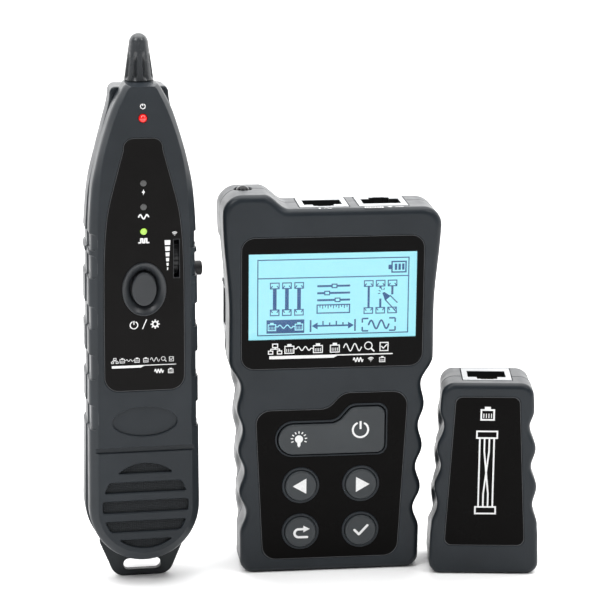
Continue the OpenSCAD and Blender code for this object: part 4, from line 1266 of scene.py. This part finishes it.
def remote_outline(keys, d):
    chain = side_chain(keys, d, M_TOP - d, 3.6 - 0.6 * d, 4.2 - 0.7 * d, 110)
    return chain + mirrored(chain)


def label_outline(d):
    return rounded([(-12.75 + d, 9.7 + d, 2.2), (12.75 - d, 9.7 + d, 2.2),
                    (10.05 - d, 58.8 - d, 2.2), (-10.05 + d, 58.8 - d, 2.2)])


def remote_jack_well():
    return well(jack_mouth(0, REMOTE_JACK_Y, REMOTE_JACK_D, 0.2), M_TOP, -7, 0.25, "z", 2)


def remote_front_case():
    rings = [(depth, remote_outline(REMOTE_FRONT, inset)) for inset, depth in quarter(M_EDGE, 8)]
    rings += [(M_PART_Y - SEAM, remote_outline(REMOTE_FRONT, 0)),
              (M_PART_Y, remote_outline(REMOTE_FRONT, SEAM))]
    front = stack("remote_front_case", rings)
    cut(front, prism(REMOTE_CAVITY, M_WALL, M_PART_Y + 1),
        well(label_outline(-FIT), 0, 0.45, 0.26), remote_jack_well())
    join(front, *bars(M_BOSSES, 2.3, 1.7, M_PART_Y))
    cut(front, *bars(M_BOSSES, 0.85, 3.4, M_PART_Y + 1))
    place(front, "remote", "housing", "remote_front_shell")


def remote_back_case():
    keys = [(18.5, 0), (20.9, 0.6), (22.1, 1.7), (M_DEPTH, 2.8)]
    rings = [(M_PART_Y, remote_outline(REMOTE_FRONT, SEAM))]
    for k in range(9):
        side = blended(REMOTE_FRONT, REMOTE_BACK, ease([(0, 0), (8, 1)], k))
        rings.append((M_PART_Y + SEAM + 0.55 * k, remote_outline(side, 0)))
    rings += [(y, remote_outline(REMOTE_BACK, flow(keys, y))) for y in back_levels(18.5, M_DEPTH)]
    back = stack("remote_back_case", rings)
    cut(back, prism(REMOTE_CAVITY, M_PART_Y - 1, M_DEPTH - M_WALL))
    join(back, *bars(M_BOSSES, 2.5, M_PART_Y, 20.8))
    cut(back, remote_jack_well(),
        *bars(M_BOSSES, 1, M_PART_Y - 1, M_DEPTH + 1),
        *screw_wells(M_BOSSES, 1.8, M_DEPTH, -10.5, 0.4))
    place(back, "remote", "housing", "remote_back_shell")


def build_remote():
    remote_front_case()
    remote_back_case()
    label = pad("remote_face_panel", label_outline(0), OVERLAY, 0.4, 0.1)
    place(label, "remote", "panel_black", "remote_label")
    cut_edge_highlight("label_edge", label_outline, OVERLAY, "remote")
    shift = Matrix.Translation((0, REMOTE_JACK_Y, 51.4))
    jack("wiremap_jack_body", "remote_jack", "remote", shift, -1, 11.7, REMOTE_JACK_D)


# ---------- icons ----------

def power_icon(r, width):
    """Open ring with a bar at the top, centred on the ring."""
    ring = [polar(r, a) for a in range(118, 423, 15)]
    return stroke(ring, width) + bar(-width / 2, r * 0.1, width / 2, r * 1.16)


def bulb_icon():
    """Glowing bulb with nine rays, about 5 mm high."""
    shapes = [disc(0, 0.2, 1.2, 28), [(-0.52, -0.8), (0.52, -0.8), (0.42, -1.9), (-0.42, -1.9)]]
    shapes += line(-0.3, -2.1, 0.3, -2.1, 0.26)
    for k in range(9):
        c, s = polar(1, -22 + 28 * k)
        shapes += line(1.75 * c, 0.2 + 1.75 * s, 2.45 * c, 0.2 + 2.45 * s, 0.32)
    return shapes


def return_icon():
    path = [(1.7, -1.35), (-0.5, -1.35)] + arc((-0.5, -0.25), 1.1, 255, 105, 8) + [(0.9, 0.85)]
    return stroke(path, 0.62) + [[(0.7, 1.75), (0.7, -0.05), (2.4, 0.85)]]


def tick_icon():
    return stroke([(-1.7, 0.1), (-0.45, -1.2), (1.9, 1.35)], 0.66)


def triangle_icon(way):
    return [[(-1.35 * way, 2.0), (-1.35 * way, -2.0), (2.1 * way, 0)]]


def plug_icon(width=0.13):
    """Modular plug from the front, one unit high."""
    shapes = frame_lines(-0.5, -0.5, 0.5, 0.3, width) + bar(-0.24, 0.3, 0.24, 0.56)
    for k in range(4):
        shapes += line(-0.3 + 0.2 * k, -0.36, -0.3 + 0.2 * k, 0.0, 0.07)
    return shapes


def cable_icon(length, width=0.13):
    """Two plugs joined by a wavy cable, one unit high."""
    half = length / 2
    run = [(-half + 0.8 + (length - 1.6) * k / 24,
            0.22 * sin(4 * pi * k / 24)) for k in range(25)]
    shapes = stroke([(-half + 0.5, 0)] + run + [(half - 0.5, 0)], width)
    return shapes + at(plug_icon(width), -half, 0) + at(plug_icon(width), half, 0)


def sine_icon(turns, width):
    run = [(-1 + 2 * k / 32, 0.42 * sin(2 * pi * turns * k / 32)) for k in range(33)]
    return stroke(run, width)


def square_icon(width):
    run = [(-1, -0.4), (-0.6, -0.4), (-0.6, 0.4), (-0.2, 0.4), (-0.2, -0.4), (0.2, -0.4),
           (0.2, 0.4), (0.6, 0.4), (0.6, -0.4), (1, -0.4)]
    return stroke(run, width)


def bolt_icon():
    return [[(0.15, 1), (-0.5, -0.12), (0.02, -0.12)], [(-0.15, -1), (0.5, 0.12), (-0.02, 0.12)],
            [(-0.5, -0.12), (0.5, 0.12), (0.1, 0.3), (0.15, 1)],
            [(0.5, 0.12), (-0.5, -0.12), (-0.1, -0.3), (-0.15, -1)]]


def signal_icon(width):
    shapes = [disc(0, -0.5, 0.16, 14)]
    for r in (0.5, 0.85, 1.2):
        shapes += stroke(arc((0, -0.5), r, 45, 135, 8), width)
    return shapes


def tree_icon(width):
    """Small network: one box above two, joined by lines."""
    shapes = frame_lines(-0.28, 0.2, 0.28, 0.6, width)
    for x in (-0.5, 0.5):
        shapes += frame_lines(x - 0.24, -0.55, x + 0.24, -0.2, width)
        shapes += line(x, -0.2, x, 0.02, width)
    return shapes + line(-0.5, 0.02, 0.5, 0.02, width) + line(0, 0.02, 0, 0.2, width)


def lens_icon(width):
    ring = disc(-0.12, 0.14, 0.42, 20)
    return stroke(ring, width, True) + line(0.2, -0.18, 0.56, -0.54, width * 1.5)


def gear_icon():
    shapes = stroke(disc(0, 0, 0.34, 16), 0.2, True)
    for k in range(8):
        shapes += line(*polar(0.4, 45 * k), *polar(0.62, 45 * k), 0.16)
    return shapes


def title_icons():
    """Row of small icons, fourteen units wide and one high."""
    w = 0.11
    return (at(tree_icon(w), -6.1, 0) + at(cable_icon(3.2, w), -2.9, 0)
            + at(plug_icon(w), 0.6, 0) + at(sine_icon(2, w), 2.6, 0) + at(lens_icon(w), 4.5, 0)
            + frame_lines(5.7, -0.48, 6.6, 0.46, w) + at(tick_icon(), 6.15, 0, 0.17))


def title_bar(x0, x1, z, step_x, thick, thin):
    """Underline that is thick on the left and thin on the right."""
    return [[(x0, z), (x1, z), (x1, z - thin), (step_x + 2 * (thick - thin), z - thin),
             (step_x, z - thick), (x0, z - thick)]]


def white(name, shapes, body, level, axis="y"):
    """Raised white print on a face at that level."""
    way = -1 if axis == "y" else 1
    printed(name, shapes, body, "print_white", level + way * 0.03, level - way * 0.02, axis)


def emitter_prints():
    title = at(title_icons(), -0.9, 73.8, 2.8)
    title += title_bar(-19.8, 19.1, 71.6, 0.4, 1.0, 0.36)
    title += at(sine_icon(3, 0.22), 8.2, 69.7, 1.5) + at(signal_icon(0.22), 12.2, 69.7, 0.95)
    title += at(plug_icon(), 15.8, 69.7, 1.7)
    white("emitter_title_print", title, "emitter", OVERLAY)
    white("lamp_icon_print", at(bulb_icon(), -10.4, 44.4, 1.06), "rocker", KEY_FACE)
    white("power_icon_print", at(power_icon(2.45, 0.62), 9.1, 47.1), "rocker", KEY_FACE)
    icons = {"left": (triangle_icon(-1), 1.25), "right": (triangle_icon(1), 1.25),
             "back": (return_icon(), 1.22), "ok": (tick_icon(), 1.15)}
    for name, (shapes, size) in icons.items():
        x, z = KEYS[name]
        white(name + "_icon_print", at(shapes, x, z, size), name + "_key", -1.02)
    top = at(bolt_icon(), -4.2, 1.75, 0.8) + at(sine_icon(1, 0.2), -1.6, 1.75, 1.1)
    top += frame_lines(10, 1.1, 15.5, 2.5, 0.26)
    for k in range(6):
        top += line(10.8 + 0.8 * k, 2.4, 10.8 + 0.8 * k, 1.8 - 0.25 * (k % 2), 0.2)
    top += at(signal_icon(0.22), 17.8, 1.9, 0.8) + line(19.4, 1.8, 22, 1.8, 0.3)
    white("top_icon_print", top, "emitter", TOP, "z")


def receiver_prints():
    white("power_led_icon_print", at(power_icon(0.72, 0.26), 0, 152.3), "receiver", 0)
    labels = at(bolt_icon(), 0, 126.2, 1.0) + at(sine_icon(1.5, 0.3), 0, 118.6, 1.5)
    labels += at(square_icon(0.3), 0, 111.2, 1.5)
    labels += at(signal_icon(0.2), 9.4, 113.1, 0.85)
    for k in range(6):
        w, h = 1.62 - 0.27 * k, 1.5 - 0.14 * k
        x, z = 7.2, 110.4 - (1.98 - 0.07 * k) * k
        labels.append([(x - w / 2 - 0.08, z + h / 2), (x + w / 2 + 0.08, z + h / 2),
                       (x + w / 2, z - h / 2), (x - w / 2, z - h / 2)])
    labels += at(power_icon(1.15, 0.34), -3.2, 84.9) + line(-0.6, 83.6, 0.7, 86.6, 0.3)
    labels += at(gear_icon(), 3.3, 85.0, 2.3)
    labels += at(title_icons(), -0.5, 73.8, 1.42)
    labels += title_bar(-10.1, 9.7, 72.2, -1.2, 0.78, 0.24)
    labels += at(sine_icon(3, 0.26), 4.4, 70.1, 1.3) + at(plug_icon(), 8.0, 70.1, 1.45)
    white("receiver_face_print", labels, "receiver", OVERLAY)
    low, high = WHEEL_SLOT
    slot = frame_lines(WHEEL_X - 0.93, low, WHEEL_X + 0.93, high, 0.1)
    printed("slot_edge_print", slot, "receiver", "label_edge", 0.02, 0.07)


def remote_prints():
    shapes = at(plug_icon(), 0, 53.4, 4.0)
    for k in range(4):
        x = -2.25 + 1.5 * k
        end = -2.25 + 1.5 * {1: 2, 2: 1}.get(k, k)
        shapes += stroke([(x, 45.4), (x, 41), (end, 27), (end, 22.6)], 0.5)
    for z in (20.4, 45.4):
        shapes += frame_lines(-3.2, z, 3.2, z + 2.2, 0.5)
    white("remote_face_print", shapes, "remote", OVERLAY)


LCD_SHIFT = (0.16, -0.58)       # how far the glass moves the picture to the eye
LCD_LAYER = (2.2, 2.28)         # front and back of the ink, just in front of the panel


def lcd_plug(x, z, v):
    """Little trapezoid connector, open towards the cable; v is 1 above it and -1 below."""
    w, h = 2.7, 1.8
    shapes = frame_lines(x - w / 2, z - h / 2, x + w / 2, z + h / 2, 0.3)
    shapes += line(x - w / 2, z - v * h / 2, x - w / 4, z, 0.3)
    return shapes + line(x + w / 2, z - v * h / 2, x + w / 4, z, 0.3)


def lcd_cables(x, gap, width, z0, z1):
    shapes = []
    for k in range(3):
        c = x + gap * (k - 1)
        shapes += lcd_plug(c, z1 + 0.95, 1) + lcd_plug(c, z0 - 0.95, -1)
        if width:
            shapes += bar(c - width / 2, z0, c + width / 2, z1)
    return shapes


def lcd_picture():
    shapes = frame_lines(-23.4, 78.3, 23.9, 102.4, 0.32) + line(-23.4, 96.55, 23.9, 96.55, 0.32)
    shapes += frame_lines(18.6, 97.75, 23.0, 101.1, 0.42) + bar(17.5, 98.7, 18.5, 100.1)
    for k in range(3):
        shapes += bar(19.5 + 1.15 * k, 98.45, 20.2 + 1.15 * k, 100.4)
    shapes += lcd_cables(-14.3, 3.8, 1.15, 86.5, 93.2)
    for z, knob in ((93.75, 0.6), (91.5, -1.7), (89.25, 1.6)):
        shapes += line(-4.8, z, knob - 0.8, z, 0.6) + line(knob + 0.8, z, 5.5, z, 0.6)
        shapes += frame_lines(knob - 0.75, z - 0.55, knob + 0.75, z + 0.55, 0.32)
    shapes += frame_lines(-4.8, 85.1, 5.4, 87.7, 0.36)
    for k in range(11):
        shapes += line(-3.9 + 0.85 * k, 87.6, -3.9 + 0.85 * k, 86.9 - 0.35 * (k % 2), 0.26)
    shapes += lcd_cables(15.1, 3.75, 0, 86.5, 93.3)
    shapes += bar(11.05, 86.5, 11.7, 93.3) + bar(14.75, 92.6, 15.4, 93.3) + bar(14.75, 86.5, 15.4, 89.3)
    shapes += bar(18.5, 90.6, 19.15, 93.3)
    shapes += [[(15.7, 91.1), (16.3, 91.4), (18.3, 90.1), (16.6, 88.6)]]
    shapes += line(16.5, 89.1, 20.4, 84.7, 0.34) + line(18.1, 90.3, 20.5, 87.9, 0.34)
    for a in (75, 110, 150, 190):
        c, s = polar(1, a)
        shapes += line(15.9 + 0.9 * c, 91.2 + 0.9 * s, 15.9 + 1.6 * c, 91.2 + 1.6 * s, 0.26)
    shapes += lcd_words()
    return shapes


def lcd_words():
    """Menu row: a length arrow and a scan frame; the highlighted one is its own piece."""
    z = 81.0
    shapes = line(-5.6, z, 6.0, z, 0.5) + line(-6.8, z - 1.9, -6.8, z + 1.9, 0.5)
    shapes += line(7.2, z - 1.9, 7.2, z + 1.9, 0.5)
    shapes += [[(-6.4, z), (-4.6, z + 1.1), (-4.6, z - 1.1)], [(6.8, z), (5, z - 1.1), (5, z + 1.1)]]
    for k in range(4):
        x = -2.9 + 2.1 * k
        shapes += line(x, z + 0.1, x, z + 1.5 - 0.5 * (k % 2), 0.4)
    for sx in (-1, 1):
        for sz in (-1, 1):
            cx, cz = 14.7 + 5.2 * sx, z + 2.0 * sz
            shapes += line(cx, cz, cx - 1.9 * sx, cz, 0.45) + line(cx, cz, cx, cz - 1.3 * sz, 0.45)
    return shapes + at(sine_icon(2, 0.16), 14.7, z, 3.2)


def lcd_graphics():
    """Screen picture just in front of the panel, drawn where the eye sees it through the glass."""
    shift, drop = LCD_SHIFT
    printed("lcd_picture", at(lcd_picture(), shift, drop), "emitter", "lcd_ink", *LCD_LAYER)
    mark = prism(box_points(-20.6, 78.9, -8.8, 83.2), *LCD_LAYER, name="lcd_highlight")
    mark.data.transform(Matrix.Translation((shift, 0, drop)))
    place(mark, "emitter", "lcd_ink")
    icon = at(cable_icon(3.6), -14.7, 81.05, 2.35)
    printed("lcd_highlight_icon", at(icon, shift, drop), "emitter", "lcd", 2.12, 2.19)


# ---------- studio ----------

CAMERA_LENS = 150                                   # mm, on a sensor 36 mm wide
CAMERA_TARGET = Vector((-4.746, -9.3, 89.288)) * MM
CAMERA_DISTANCE = 0.775
CAMERA_TILT, CAMERA_SWING, CAMERA_ROLL = radians(14.5), radians(4), radians(-0.5)
SOFTBOXES = {       # place, aim, width, height and watts
    "key_light": ((-0.7, -0.7, 1.0), (0, 0, 0.08), 0.35, 0.35, 5),
    "side_light": ((0.75, -0.6, 1.0), (0, 0, 0.1), 0.35, 0.35, 3),
    "top_light": ((0, -0.05, 1.4), (0, 0, 0), 1.8, 1.2, 24),
}
SKY_FRONT, SKY_BACK = 0.16, 2.8                     # strength of the room's light
FLOOR_HALF = 6.0


def camera():
    side, front, level = sin(CAMERA_SWING), cos(CAMERA_SWING), cos(CAMERA_TILT)
    ahead = Vector((side * level, front * level, -sin(CAMERA_TILT)))
    right = Vector((front, -side, 0))
    up = right.cross(ahead)
    across = right * cos(CAMERA_ROLL) - up * sin(CAMERA_ROLL)
    upright = right * sin(CAMERA_ROLL) + up * cos(CAMERA_ROLL)
    data = bpy.data.cameras.new("view")
    data.lens = CAMERA_LENS
    data.sensor_width = 36
    data.clip_start = 0.05
    data.clip_end = 20
    obj = bpy.data.objects.new("view", data)
    bpy.context.scene.collection.objects.link(obj)
    turn = Matrix((across, upright, -ahead)).transposed().to_4x4()
    obj.matrix_world = Matrix.Translation(CAMERA_TARGET - ahead * CAMERA_DISTANCE) @ turn
    bpy.context.scene.camera = obj


def softbox(name, at_point, to_point, width, height, power):
    data = bpy.data.lights.new(name, "AREA")
    data.shape = "RECTANGLE"
    data.size = width
    data.size_y = height
    data.energy = power
    obj = bpy.data.objects.new(name, data)
    obj.location = at_point
    obj.rotation_mode = "QUATERNION"
    aim = Vector(to_point) - Vector(at_point)
    obj.rotation_quaternion = aim.to_track_quat("-Z", "Y")
    bpy.context.scene.collection.objects.link(obj)


def surround():
    """White room, dimmer on the side that the fronts face."""
    world = bpy.data.worlds.new("studio")
    bpy.context.scene.world = world
    look = Look(world, "Generated")
    split = look.node("SeparateXYZ", {"Vector": look.coord})
    fade = look.spread(split.outputs["Y"], SKY_FRONT, SKY_BACK, -0.35, 0.5)
    fade.node.interpolation_type = "SMOOTHSTEP"
    look.finish({"Strength": fade, "Color": (1, 1, 1, 1)}, "Background")


def floor():
    corners = [(x * FLOOR_HALF, y * FLOOR_HALF, 0) for x, y in ((-1, -1), (1, -1), (1, 1), (-1, 1))]
    ground = mesh_object("studio_floor", corners, [(0, 1, 2, 3)])
    look = new_look("studio_floor")
    tone = look.ramp(look.noise(400, 2), (0.9, 0.9, 0.9), (0.92, 0.92, 0.92))
    ground.data.materials.append(look.finish({"Base Color": tone, "Roughness": 0.7,
                                              "Specular IOR Level": 0.1}))


def studio():
    camera()
    surround()
    floor()
    for name, row in SOFTBOXES.items():
        softbox(name, *row)
    bpy.context.scene.view_settings.view_transform = "Standard"


build_emitter()
jack_lights()
build_receiver()
build_remote()
emitter_prints()
receiver_prints()
remote_prints()
lcd_graphics()
studio()
